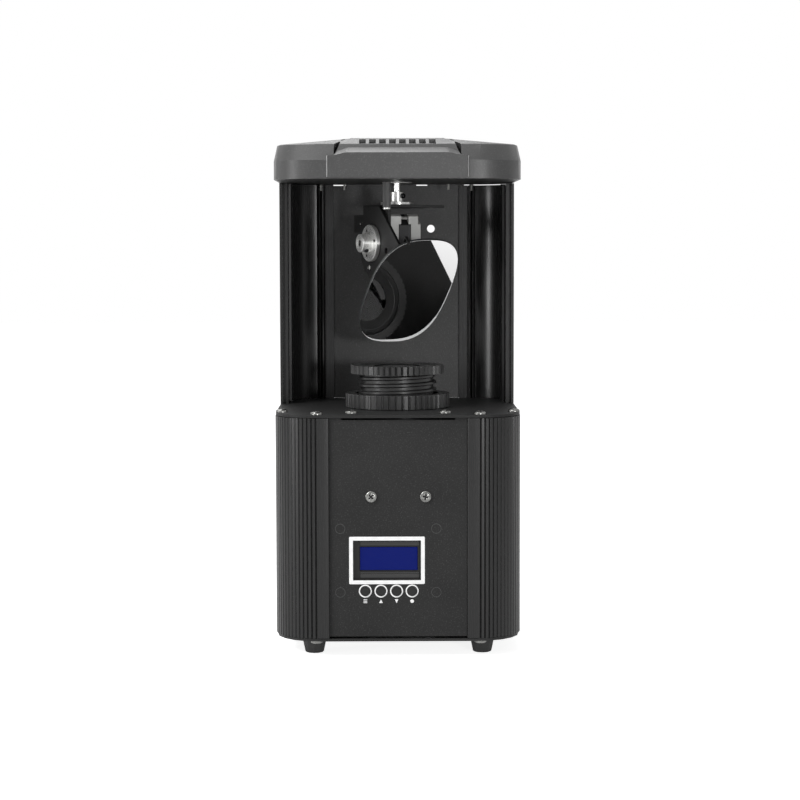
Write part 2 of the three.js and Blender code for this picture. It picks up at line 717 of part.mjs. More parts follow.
// One ridge that climbs round the barrel and fades out at both ends
function threadRidge() {
  const turns = (threadTop - threadBottom) / barrel.pitch;
  const steps = Math.round(turns * facets.thread);
  const rings = Array.from({ length: steps + 1 }, (_, i) => {
    const turn = (turns * i) / steps;
    const fromEnd = Math.min(turn, turns - turn);
    const fade = Math.min(1, barrel.fadeShare + fromEnd * barrel.fadeRate);
    const tip = barrel.root + (barrel.crest - barrel.root) * fade;
    const angle = turn * fullTurn;
    const z = threadBottom + turn * barrel.pitch;
    return [
      [barrel.root - weld, -barrel.footShare],
      [barrel.root - weld, barrel.footShare],
      [tip, barrel.tipShare],
      [tip, -barrel.tipShare],
    ].map(([r, share]) => [r * Math.cos(angle), axisY + r * Math.sin(angle), z + share * barrel.pitch]);
  });
  return loft(rings);
}

function focusBarrel() {
  const tube = turned([
    [barrel.bore, barrelBottom],
    [barrel.root, barrelBottom],
    [barrel.root, ringBottom + weld],
    [barrel.bore, ringBottom + weld],
    [barrel.bore, barrelBottom],
  ], facets.ring, 0, axisY);
  const ring = prism(knurled(barrel.ringRadius, barrel.teeth), ringBottom, barrelTop);
  return cut(
    join(tube, ring, threadRidge()),
    rod(barrel.bore, barrelBottom - overrun, barrelTop + overrun, facets.ring, 0, axisY),
    rod(barrel.seatRadius, barrelTop - barrel.seatDepth, barrelTop + overrun, facets.ring, 0, axisY),
  );
}

place('focus_barrel', focusBarrel(), 'lensPlastic');

// A lens with a flat underside, a cylindrical edge and a domed top
function planoConvex(radius, bottom, edge, rise, steps) {
  const dome = Array.from({ length: 4 }, (_, i) => {
    const angle = (quarterTurn * i) / 4;
    return [radius * Math.cos(angle), bottom + edge + rise * Math.sin(angle)];
  });
  return turned([[0, bottom], [radius, bottom], ...dome, [0, bottom + edge + rise]], steps, 0, axisY);
}

const glassBottom = barrelTop - barrel.seatDepth + fit;
const frontLens = planoConvex(barrel.seatRadius - fit, glassBottom, glass.edge, glass.rise, facets.round);
place('front_lens', frontLens, 'lensGlass');

// Pan drive: motor on the top plate, its shaft and hub, and the post that stops the yoke's tail
const bayTop = plateTop + fit;

function squareMotor(side, corner) {
  const half = side / 2;
  return [
    [half, half - corner], [half - corner, half], [corner - half, half], [-half, half - corner],
    [-half, corner - half], [corner - half, -half], [half - corner, -half], [half, corner - half],
  ];
}

function panMotor() {
  const housing = squareMotor(motor.side, motor.cornerCut).map(([x, y]) => [x, y + panY]);
  const waist = squareMotor(motor.side, motor.stepCut).map(([x, y]) => [x, y + panY]);
  const bell = (pan.motorLength) / 3;
  return cut(
    join(
      prism(housing, bayTop, bayTop + bell),
      prism(waist, bayTop + bell - weld, bayTop + 2 * bell + weld),
      prism(housing, bayTop + 2 * bell, bayTop + pan.motorLength),
      rod(pan.pilotRadius, level.towerTop - pan.pilotDrop, bayTop + weld, facets.round, 0, panY),
    ),
    rod(
      pan.shaftRadius + fit, level.towerTop - overrun, bayTop + pan.shaftInMotor + fit, facets.small, 0, panY,
    ),
  );
}

place('pan_motor', panMotor(), 'castAluminium');

const postTop = level.towerTop - fit;
place('pan_stop_post', join(
  rod(pan.postRadius, postBottom + pan.capHeight, postTop, facets.small, pan.postX, panY - pan.postForward),
  rod(
    pan.postRadius - pan.capRim, postBottom, postBottom + pan.capHeight + weld, facets.small,
    pan.postX, panY - pan.postForward,
  ),
), 'blackPlastic');

// Yoke pieces are drawn about the pan axis with the tilt axis at height zero, facing -Y.
// The tilt axis runs along X, and the hub's side is -X.
const flat = (z) => z - tiltZ;
const hubSide = -motor.front;

place('pan_shaft', rod(
  pan.shaftRadius, flat(flangeBottom), flat(bayTop + pan.shaftInMotor), facets.small,
), 'brightSteel', yokeGroup);

place('pan_hub', cut(
  turned([
    [0, flat(flangeBottom)],
    [pan.flangeRadius, flat(flangeBottom)],
    [pan.flangeRadius, flat(flangeBottom + pan.flange)],
    [pan.hubRadius, flat(flangeBottom + pan.flange)],
    [pan.hubRadius, flat(hubTop)],
    [0, flat(hubTop)],
  ], facets.round),
  rod(pan.shaftRadius + fit, flat(flangeBottom - overrun), flat(hubTop + overrun), facets.small),
), 'turnedAluminium', yokeGroup);

function yokeBracket() {
  const plate = [flat(yokeTop - yoke.sheet), flat(yokeTop)];
  const wallX = [hubSide - yoke.sheet, hubSide];
  const low = plate[1] - yoke.drop;
  const wallOutline = [
    [-yoke.halfDepth, plate[1]],
    [-yoke.halfDepth, low + yoke.bend],
    [-yoke.halfDepth + yoke.bend, low],
    [yoke.halfDepth - yoke.bend, low],
    [yoke.halfDepth, low + yoke.bend],
    [yoke.halfDepth, yoke.earBottom],
    [yoke.earReach, yoke.earBottom],
    [yoke.earReach, yoke.earTop],
    [yoke.halfDepth, yoke.earTop],
    [yoke.halfDepth, plate[1]],
  ].reverse();
  return cut(
    join(
      block([wallX[0], yoke.inner], around(yoke.halfDepth), plate),
      block([yoke.inner - weld, yoke.tailEnd], around(yoke.tailHalf), plate),
      sidePrism(wallOutline, ...wallX),
    ),
    rodX(motor.pilotRadius + fit, wallX[0] - overrun, wallX[1] + overrun, facets.round, 0, 0),
  );
}

place('yoke_bracket', yokeBracket(), 'blackSheet', yokeGroup);

const sensorX = hubSide + fit;
place('tilt_sensor', block(
  [sensorX, sensorX + sensor.depth], [sensor.front, sensor.back], [sensor.bottom, sensor.top],
), 'blackPlastic', yokeGroup);

// Tilt motor: two bells with corner lugs that reach over the cut corners of the stator
function lugs(x0, x1) {
  return cut(
    sidePrism(squareMotor(motor.side, motor.cornerCut), x0, x1),
    sidePrism(squareMotor(motor.side + 2 * fit, motor.stepCut), x0 - overrun, x1 + overrun),
  );
}

function frontBell() {
  const front = hubSide + fit;
  const back = -motor.statorFront - fit;
  const rods = sides.flatMap((sy) => sides.map((sz) => rodX(
    motor.rodRadius, back - weld, -motor.statorBack - fit, facets.bore,
    sy * motor.rodOffset, sz * motor.rodOffset,
  )));
  return cut(
    join(
      sidePrism(squareMotor(motor.side, motor.cornerCut), front, back),
      lugs(back - weld, back + motor.lug),
      rodX(motor.pilotRadius, front - motor.pilot, front + weld, facets.round, 0, 0),
      ...rods,
    ),
    rodX(pan.shaftRadius + fit, front - overrun, back + overrun, facets.small, 0, 0),
  );
}

function rearBell() {
  const front = -motor.statorBack + fit;
  const back = -motor.back;
  return cut(
    join(
      cut(
        sidePrism(squareMotor(motor.side, motor.cornerCut), front, back),
        lugs(back - motor.rearStep, back + overrun),
      ),
      cut(lugs(front - motor.lug, front + weld), ...sides.flatMap((sy) => sides.map((sz) => rodX(
        motor.rodRadius + fit, front - motor.lug - overrun, front, facets.bore,
        sy * motor.rodOffset, sz * motor.rodOffset,
      )))),
    ),
    rodX(pan.shaftRadius + fit, front - overrun, front + motor.bearing, facets.small, 0, 0),
  );
}

place('tilt_motor_front_bell', frontBell(), 'castAluminium', yokeGroup);
place('tilt_motor_rear_bell', rearBell(), 'castAluminium', yokeGroup);
place('tilt_motor_stator', cut(
  sidePrism(squareMotor(motor.side, motor.stepCut), -motor.statorFront, -motor.statorBack),
  rodX(pan.shaftRadius + fit, -motor.statorFront - overrun, -motor.statorBack + overrun, facets.small, 0, 0),
), 'lamination', yokeGroup);

// Mirror pieces are drawn about the tilt axis with the mirror upright
const bracketX = [-bracket.near - bracket.sheet, -bracket.near];
const hubX = bracketX[0] - fit;
const hubTip = hubX - hub.flange - hub.boss;

place('tilt_shaft', rodX(
  pan.shaftRadius, hubTip, -motor.statorBack + motor.bearing, facets.small, 0, 0,
), 'brightSteel', mirrorGroup);

function tiltHub() {
  const face = hubX - hub.flange;
  const screwHoles = [0, 1, 2, 3].map((i) => {
    const angle = quarterTurn * (i + 0.5);
    const y = hub.holeRing * Math.cos(angle);
    const z = hub.holeRing * Math.sin(angle);
    return rodX(hub.holeRadius, face - overrun, hubX + overrun, facets.bore, y, z);
  });
  const grubDirection = new THREE.Vector3(0, -Math.SQRT1_2, -Math.SQRT1_2);
  const grub = new THREE.CylinderGeometry(hub.grub, hub.grub, hub.bossRadius + overrun, facets.bore);
  grub.translate(0, (hub.bossRadius + overrun) / 2, 0);
  grub.applyQuaternion(new THREE.Quaternion().setFromUnitVectors(new THREE.Vector3(0, 1, 0), grubDirection));
  grub.translate(face - hub.boss / 2, 0, 0);
  return cut(
    join(
      rodX(hub.flangeRadius, face, hubX, facets.ring, 0, 0),
      rodX(hub.bossRadius, hubTip, face + weld, facets.round, 0, 0),
    ),
    rodX(pan.shaftRadius + fit, hubTip - overrun, hubX + overrun, facets.small, 0, 0),
    solidOf(grub),
    ...screwHoles,
  );
}

place('tilt_hub', tiltHub(), 'turnedAluminium', mirrorGroup);

// The side plate carries the hub and folds into the plate behind the mirror
function mirrorBracket() {
  const backY = [-bracket.backFace - bracket.sheet, -bracket.backFace];
  const outline = [
    [backY[0], bracket.low],
    [backY[0], bracket.high],
    ...bracketCrownShares.map(([y, z]) => [y * bracket.reach, z * bracket.reach]),
    ...bracketBackShares.map(([y, z]) => [y * bracket.reach, z * bracket.reach]),
  ];
  return cut(
    join(
      sidePrism(outline.reverse(), ...bracketX),
      block([bracketX[0], bracket.innerReach], backY, [bracket.low, bracket.high]),
    ),
    rodX(pan.shaftRadius + 2 * fit, bracketX[0] - overrun, bracketX[1] + overrun, facets.small, 0, 0),
    rodX(
      bracket.holeRadius, bracketX[0] - overrun, bracketX[1] + overrun, facets.small,
      -bracket.holeA, bracket.holeB,
    ),
  );
}

place('mirror_bracket', mirrorBracket(), 'blackSheet', mirrorGroup);

// Straight-sided oval with superelliptic ends
const mirrorBack = -bracket.backFace - bracket.sheet - fit;

function mirrorOutline() {
  const steps = 56;
  return Array.from({ length: steps }, (_, i) => {
    const angle = (fullTurn * i) / steps;
    const reach = (value) => Math.sign(value) * Math.abs(value) ** (2 / mirrorSize.power);
    return [
      -mirrorSize.sideShift + mirrorSize.halfWidth * reach(Math.cos(angle)),
      mirrorSize.endShift + mirrorSize.halfLength * reach(Math.sin(angle)),
    ];
  });
}

place('mirror', frontPrism(
  mirrorOutline(), mirrorBack - mirrorSize.thickness, mirrorBack,
), 'mirrorGlass', mirrorGroup);

function mirrorEdgeAt(x) {
  const share = Math.abs(x + mirrorSize.sideShift) / mirrorSize.halfWidth;
  const reach = (1 - share ** mirrorSize.power) ** (1 / mirrorSize.power);
  return mirrorSize.endShift + mirrorSize.halfLength * reach;
}

// A spring strip from behind the bracket, over the mirror's edge and down on its face
function mirrorClip() {
  const behind = -bracket.backFace + fit;
  const face = mirrorBack - mirrorSize.thickness - fit;
  const edge = mirrorEdgeAt(-clip.place + clip.width / 2) + fit;
  const across = around(clip.width / 2, -clip.place);
  const outline = [
    [behind + clip.sheet, bracket.high - clip.tail],
    [behind + clip.sheet, edge + clip.sheet],
    [face - clip.sheet, edge + clip.sheet],
    [face - clip.sheet, edge - clip.lap],
    [face, edge - clip.lap],
    [face, edge],
    [behind, edge],
    [behind, bracket.high - clip.tail],
  ];
  return sidePrism(outline, ...across);
}

place('mirror_clip', mirrorClip(), 'brightSteel', mirrorGroup);

// Display and buttons behind the front panel
const screenFace = frontInner + display.recess;

place('display_module', cut(
  block(
    around(display.openWidth / 2 + display.overlap, display.x),
    [screenFace, screenFace + display.body],
    around(display.openHeight / 2 + display.overlap, display.z),
  ),
  block(
    around(display.screenWidth / 2, display.screenX),
    [screenFace - overrun, screenFace + display.bezel],
    around(display.screenHeight / 2, display.screenZ),
  ),
), 'blackPlastic');

place('display_screen', block(
  around(display.screenWidth / 2 - fit, display.screenX),
  [screenFace + fit, screenFace + display.bezel - fit],
  around(display.screenHeight / 2 - fit, display.screenZ),
), 'blueScreen');

const buttonNames = ['first', 'second', 'third', 'fourth'];
const buttonFace = frontFace - button.proud;
const buttonBack = buttonFace + button.length;
const flangeY = frontInner + fit;

buttonNames.forEach((name, i) => {
  place(`${name}_button`, join(
    rodY(button.radius, buttonFace, buttonBack, facets.small, buttonX(i), button.z),
    rodY(button.flangeRadius, flangeY, flangeY + button.flange, facets.small, buttonX(i), button.z),
  ), 'blackPlastic');
});

// The display board hangs on four studs of the front panel and carries the switches
function displayBoard() {
  const face = frontInner + fit + board.standoff;
  const studX = [board.left + board.studInset, board.right - board.studInset];
  const studZ = [board.low + board.studInset, board.high - board.studInset];
  const studs = studX.flatMap((x) => studZ.map(
    (z) => rodY(board.stud, frontInner + fit, face + weld, facets.bore, x, z),
  ));
  const switchFace = buttonBack + button.travel + fit;
  const switches = buttonNames.map((_, i) => block(
    around(button.switchHalf, buttonX(i)), [switchFace, face + weld], around(button.switchHalf, button.z),
  ));
  const rest = screenFace + display.body + fit;
  return join(
    block([board.left, board.right], [face, face + board.sheet], [board.low, board.high]),
    block(
      around(display.screenWidth / 2, display.x), [rest, face + weld],
      around(display.screenHeight / 2, display.z),
    ),
    ...studs,
    ...switches,
  );
}

place('display_board', displayBoard(), 'circuitBoard');

// Control board on the right side panel, power supply on the bottom plate
const sideInner = halfWidth - panelInner;
const floor = level.baseBottom + body.sheet + fit;

function controlBoard() {
  const x = sideInner - fit - mainBoard.standoff;
  const studs = sides.flatMap((sy) => sides.map((sz) => rodX(
    mainBoard.stud, x - weld, sideInner - fit, facets.bore,
    sy * (sidePanelHalf - mainBoard.inset),
    (mainBoard.low + mainBoard.high) / 2 + sz * ((mainBoard.high - mainBoard.low) / 2 - mainBoard.inset),
  )));
  const chips = [0, 1].map((i) => block(
    [x - mainBoard.sheet - mainBoard.chipRise, x - weld],
    around(mainBoard.chip / 2, (i - 0.5) * mainBoard.chipPitch),
    around(mainBoard.chip / 2, (mainBoard.low + mainBoard.high) / 2),
  ));
  return join(
    block([x - mainBoard.sheet, x], [mainBoard.front, mainBoard.back], [mainBoard.low, mainBoard.high]),
    ...studs,
    ...chips,
  );
}

place('control_board', controlBoard(), 'circuitBoard');

const supplyLeft = -(sideInner - supply.gap);
const supplyRight = supplyLeft + supply.width;

function powerSupply() {
  const top = supply.boardZ + supply.sheet;
  const middle = (supplyLeft + supplyRight) / 2;
  const length = supply.back - supply.front;
  const stands = [supply.front + supply.stand * 2, supply.back - supply.stand * 2].flatMap((y) => [
    rod(supply.stand, floor, supply.boardZ + weld, facets.bore, supplyLeft + supply.standInset, y),
    rod(supply.stand, floor, supply.boardZ + weld, facets.bore, supplyRight - supply.standInset, y),
  ]);
  const cans = [0, 1].map((i) => rod(
    supply.canRadius, top - weld, top + supply.canHeight, facets.small, middle,
    supply.front + length * (supply.firstCanShare + i * supply.canPitchShare),
  ));
  return join(
    block([supplyLeft, supplyRight], [supply.front, supply.back], [supply.boardZ, top]),
    block(
      around(supply.coilHalf, middle),
      [supply.back - length * supply.coilFarShare, supply.back - length * supply.coilNearShare],
      [top - weld, top + supply.height],
    ),
    ...stands,
    ...cans,
  );
}

place('power_supply', powerSupply(), 'circuitBoard');

// Rear sockets
function powerInlet() {
  const halfX = inlet.openWidth / 2;
  const halfZ = inlet.openHeight / 2;
  return cut(
    join(
      block(
        around(inletWidth / 2, inletX), [rearFace + fit, rearFace + fit + inlet.flange],
        around(inlet.flangeHeight / 2, inletZ),
      ),
      block(
        around(halfX + inlet.flange, inletX), [rearFace - inlet.depth, rearFace + fit + weld],
        around(halfZ + inlet.flange, inletZ),
      ),
    ),
    block(
      around(halfX, inletX), [rearFace - inlet.depth + inlet.flange * 2, rearFace + overrun],
      around(halfZ, inletZ),
    ),
  );
}

function socketShell(x, open) {
  const back = rearFace - socket.depth;
  const face = rearFace + fit;
  const whole = join(
    block(
      around(socket.flangeWidth / 2, x), [face, face + socket.flange],
      around(socket.flangeHeight / 2, socketZ),
    ),
    rodY(socket.shell, back, face + weld, facets.round, x, socketZ),
  );
  const recess = open ? socket.depth - socket.wall * 2 : socket.wall * 2;
  const inner = rodY(socket.bore, rearFace - recess, face + overrun, facets.round, x, socketZ);
  const contacts = [0, 1, 2].map((i) => {
    const angle = quarterTurn * (i + 2);
    const ring = socket.bore / 2;
    return rodY(
      socket.contact, rearFace - socket.depth / 2, face, facets.bore,
      x + ring * Math.cos(angle), socketZ + ring * Math.sin(angle),
    );
  });
  return open ? cut(whole, inner) : cut(whole, inner, ...contacts);
}

function fuseHolder() {
  const face = rearFace + fit;
  return cut(
    join(
      rodY(fuse.capRadius, face, face + fuse.cap, facets.round, socketX, inletZ),
      rodY(fuse.bodyRadius, rearFace - fuse.depth, face + weld, facets.small, socketX, inletZ),
    ),
    block(
      around(fuse.bodyRadius, socketX),
      [face + fuse.cap - fuse.slotDepth, face + fuse.cap + overrun],
      around(fuse.slot / 2, inletZ),
    ),
  );
}

place('power_inlet', powerInlet(), 'blackPlastic');
place('data_input', socketShell(-socketX, true), 'blackPlastic');
place('data_output', socketShell(socketX, false), 'blackPlastic');
place('fuse_holder', fuseHolder(), 'blackPlastic');

// Fan behind the grille: the frame's spider carries the axle, the rotor turns on it
const fanBack = rearInner - fit;
const fanFront = fanBack - fan.depth;

function fanFrame() {
  const spider = [fanFront, fanFront + fan.strut];
  const corners = sides.flatMap((sx) => sides.map((sz) => rodY(
    fan.cornerHole, fanFront - overrun, fanBack + overrun, facets.bore,
    sx * (fan.side / 2 - fan.corner), fan.z + sz * (fan.side / 2 - fan.corner),
  )));
  return join(
    cut(
      block(around(fan.side / 2), [fanFront, fanBack], around(fan.side / 2, fan.z)),
      rodY(fan.bore, fanFront - overrun, fanBack + overrun, facets.round, 0, fan.z),
      ...corners,
    ),
    block(around(fan.bore + fan.wall), spider, around(fan.strut / 2, fan.z)),
    block(around(fan.strut / 2), spider, around(fan.bore + fan.wall, fan.z)),
    rodY(fan.hub, ...spider, facets.small, 0, fan.z),
    rodY(fan.axle, spider[0], fanBack - fan.strut, facets.round, 0, fan.z),
  );
}

function fanRotor() {
  const y = [fanFront + fan.strut + fit, fanBack - fan.clearance];
  const middle = (y[0] + y[1]) / 2;
  const chord = (y[1] - y[0]) / Math.cos(THREE.MathUtils.degToRad(fan.bladeAngle)) - fan.bladeSheet;
  const blades = Array.from({ length: fan.blades }, (_, i) => {
    const blade = new THREE.BoxGeometry(fan.bladeSheet, chord, fan.tip - fan.hub + fan.strut);
    blade.rotateZ(THREE.MathUtils.degToRad(fan.bladeAngle));
    blade.translate(0, middle, (fan.tip + fan.hub - fan.strut) / 2);
    blade.rotateY((fullTurn * i) / fan.blades);
    blade.translate(0, 0, fan.z);
    return solidOf(blade);
  });
  return cut(
    join(rodY(fan.hub, ...y, facets.small, 0, fan.z), ...blades),
    rodY(fan.axle + fit, y[0] - overrun, fanBack - fan.strut + fit, facets.round, 0, fan.z),
  );
}

place('fan_frame', fanFrame(), 'blackPlastic');
place('fan_rotor', fanRotor(), 'blackPlastic');

// Light engine on the optical axis
const sinkY = around(sink.side / 2, axisY);

function heatSink() {
  const bottom = sink.top - sink.base;
  const pitch = (sink.side - sink.fin) / (sink.fins - 1);
  const fins = Array.from({ length: sink.fins }, (_, i) => {
    const x = -sink.side / 2 + i * pitch;
    const end = i === 0 || i === sink.fins - 1;
    return block([x, x + sink.fin], sinkY, [end ? floor : sink.finBottom, bottom + weld]);
  });
  return join(block(around(sink.side / 2), sinkY, [bottom, sink.top]), ...fins);
}

place('heat_sink', heatSink(), 'castAluminium');

const ledBottom = sink.top + fit;
place('led_engine', turned([
  [0, ledBottom],
  [led.radius, ledBottom],
  [led.radius, ledBottom + led.sheet],
  [led.dome, ledBottom + led.sheet],
  [led.dome * Math.SQRT1_2, ledBottom + led.sheet + led.domeHeight * Math.SQRT1_2],
  [0, ledBottom + led.sheet + led.domeHeight],
], facets.small, 0, axisY), 'lensGlass');

place('condenser_holder', turned([
  [condenser.inner, ledBottom],
  [condenser.outer, ledBottom],
  [condenser.outer, ledBottom + condenser.height],
  [condenser.inner, ledBottom + condenser.height],
  [condenser.inner, ledBottom + condenser.ledgeTop],
  [condenser.ledge, ledBottom + condenser.ledgeTop],
  [condenser.ledge, ledBottom + condenser.ledgeTop - condenser.ledgeSheet],
  [condenser.inner, ledBottom + condenser.ledgeTop - condenser.ledgeSheet],
  [condenser.inner, ledBottom],
], facets.round, 0, axisY), 'blackPlastic');

place('condenser_lens', planoConvex(
  condenser.inner - fit, ledBottom + condenser.ledgeTop + fit, condenser.lensEdge, condenser.lensRise,
  facets.round,
), 'clearGlass');

// Optical frame: two plates on four posts, with the wheel motors' seats
const wheelY = axisY + wheel.offset;

function opticalFrame() {
  const plateY = [stack.front, stack.back];
  const plates = [stack.lowPlate, stack.highPlate].map((z) => cut(
    block(around(stack.halfWidth), plateY, [z, z + body.sheet]),
    rod(stack.beam, z - overrun, z + body.sheet + overrun, facets.round, 0, axisY),
    rod(wheel.shaft + 2 * fit, z - overrun, z + body.sheet + overrun, facets.small, 0, wheelY),
  ));
  const posts = [stack.frontPost, stack.backPost].flatMap((y) => sides.map((sx) =>
    rod(stack.post, floor, stack.highPlate + weld, facets.bore, sx * stack.postX, y)));
  return join(...plates, ...posts);
}

place('optical_frame', opticalFrame(), 'blackSheet');

function wheelMotor(z0, z1) {
  return rod(wheel.motorRadius, z0, z1, facets.small, 0, wheelY);
}

const colorMotorTop = stack.lowPlate - fit;
const goboMotorBottom = stack.highPlate + body.sheet + fit;

place('color_wheel_motor', cut(
  wheelMotor(colorMotorTop - wheel.motorLength, colorMotorTop),
  rod(
    wheel.shaft + fit, colorMotorTop - wheel.shaftInMotor - fit, colorMotorTop + overrun, facets.small,
    0, wheelY,
  ),
), 'castAluminium');
place('gobo_wheel_motor', cut(
  wheelMotor(goboMotorBottom, goboMotorBottom + wheel.motorLength),
  rod(
    wheel.shaft + fit, goboMotorBottom - overrun, goboMotorBottom + wheel.shaftInMotor + fit, facets.small,
    0, wheelY,
  ),
), 'castAluminium');

// A wheel is a disc with a ring of round windows, one of them over the optical axis, and its shaft
function filterWheel(z, windowRadius, shaftEnd) {
  const windows = Array.from({ length: wheel.holes }, (_, i) => {
    const angle = (fullTurn * i) / wheel.holes - quarterTurn;
    const x = wheel.offset * Math.cos(angle);
    const y = wheelY + wheel.offset * Math.sin(angle);
    return rod(windowRadius, z - overrun, z + wheel.sheet + overrun, facets.small, x, y);
  });
  const shaftZ = [Math.min(z, shaftEnd), Math.max(z + wheel.sheet, shaftEnd)];
  return join(
    cut(
      rod(wheel.radius, z, z + wheel.sheet, facets.ring, 0, wheelY),
      ...windows,
      rodX(
        wheel.notch / 2, wheel.radius - wheel.notch, wheel.radius + overrun, facets.bore,
        wheelY, z + wheel.sheet / 2,
      ),
    ),
    rod(wheel.hub, z - wheel.hubHeight / 2, z + wheel.hubHeight / 2, facets.small, 0, wheelY),
    rod(wheel.shaft, ...shaftZ, facets.small, 0, wheelY),
  );
}

const colorWheel = filterWheel(wheel.colorZ, wheel.colorHole, colorMotorTop - wheel.shaftInMotor);
const goboWheel = filterWheel(wheel.goboZ, wheel.goboHole, goboMotorBottom + wheel.shaftInMotor);
place('color_wheel', colorWheel, 'clearGlass');
place('gobo_wheel', goboWheel, 'brightSteel');

export default scanner;
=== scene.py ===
"""Looks of the led scanner light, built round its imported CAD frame, in metres."""

import json
import logging
import math
from collections.abc import Callable, Sequence
from dataclasses import dataclass
from enum import Enum

import bmesh
import bpy
from mathutils import Matrix, Vector

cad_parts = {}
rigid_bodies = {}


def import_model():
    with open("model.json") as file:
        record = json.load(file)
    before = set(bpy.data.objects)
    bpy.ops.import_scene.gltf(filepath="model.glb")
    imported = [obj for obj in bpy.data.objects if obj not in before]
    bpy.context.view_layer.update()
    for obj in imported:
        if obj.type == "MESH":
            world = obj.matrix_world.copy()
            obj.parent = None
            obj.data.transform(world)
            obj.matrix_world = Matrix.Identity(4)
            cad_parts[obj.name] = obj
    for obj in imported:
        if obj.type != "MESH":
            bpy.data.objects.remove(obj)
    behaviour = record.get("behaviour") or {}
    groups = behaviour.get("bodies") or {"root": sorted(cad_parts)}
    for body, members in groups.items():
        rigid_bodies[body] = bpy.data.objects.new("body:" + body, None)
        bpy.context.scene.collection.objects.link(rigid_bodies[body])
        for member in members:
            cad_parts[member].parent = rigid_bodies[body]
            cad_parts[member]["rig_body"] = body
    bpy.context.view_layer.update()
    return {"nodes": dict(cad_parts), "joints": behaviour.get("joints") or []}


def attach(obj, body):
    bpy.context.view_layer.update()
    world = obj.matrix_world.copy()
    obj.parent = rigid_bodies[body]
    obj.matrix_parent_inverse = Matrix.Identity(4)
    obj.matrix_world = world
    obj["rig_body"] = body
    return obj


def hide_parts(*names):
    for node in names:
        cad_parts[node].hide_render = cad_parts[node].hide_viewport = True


logging.basicConfig(level=logging.INFO, format="%(message)s")
log = logging.getLogger("scanner")

MM = 0.001
SHARP_DEG = 32.0
FLAT_DEG = 0.4
MERGE_M = 1e-7
SLIVER_M = 1e-8
CAD_MERGE_M = 2e-6
SPIN_SEED = 7
COLOUR_A, COLOUR_B, COLOUR_OUT = 6, 7, 2
SIDES = (-1, 1)
CORNERS = ((-1, -1), (-1, 1), (1, -1), (1, 1))

Point = tuple[float, float, float]
Pair = tuple[float, float]
Outline = Sequence[Pair]
Place = Callable[[float, float, float], Point]
Tree = bpy.types.NodeTree
Socket = bpy.types.NodeSocket
Form = bmesh.types.BMesh


class Facing(Enum):
    """The way that the outer side of a piece looks."""

    FRONT = (0.0, -1.0, 0.0)
    REAR = (0.0, 1.0, 0.0)
    UP = (0.0, 0.0, 1.0)
    DOWN = (0.0, 0.0, -1.0)

    @property
    def way(self) -> Vector:
        """The direction as a vector."""
        return Vector(self.value)


def linear(colour: str) -> tuple[float, ...]:
    """Turns an sRGB hex colour into linear numbers.

    Args:
        colour: six hex digits, red, green and blue.

    Returns:
        The linear red, green, blue and an alpha of 1.
    """
    parts = [int(colour[i : i + 2], 16) / 255 for i in (0, 2, 4)]
    red, green, blue = (c / 12.92 if c <= 0.04045 else ((c + 0.055) / 1.055) ** 2.4 for c in parts)
    return red, green, blue, 1.0


def add(tree: Tree, kind: str, inputs: dict | None = None, **settings: object) -> bpy.types.Node:
    """Adds one node, with its settings, its input values and its links.

    Args:
        tree: the node tree that gets the node.
        kind: Blender's name of the node type, for a shader's or a vector's without ShaderNode before it.
        inputs: for each input name or number a value, an output socket, or a node for its first output.
        settings: the node's own properties.

    Returns:
        The new node.
    """
    node = tree.nodes.new(kind if "Node" in kind else f"ShaderNode{kind}")
    for name, value in settings.items():
        setattr(node, name, value)
    for key, value in (inputs or {}).items():
        if isinstance(value, bpy.types.Node):
            value = value.outputs[0]
        if isinstance(value, Socket):
            tree.links.new(value, node.inputs[key])
        else:
            node.inputs[key].default_value = value
    return node


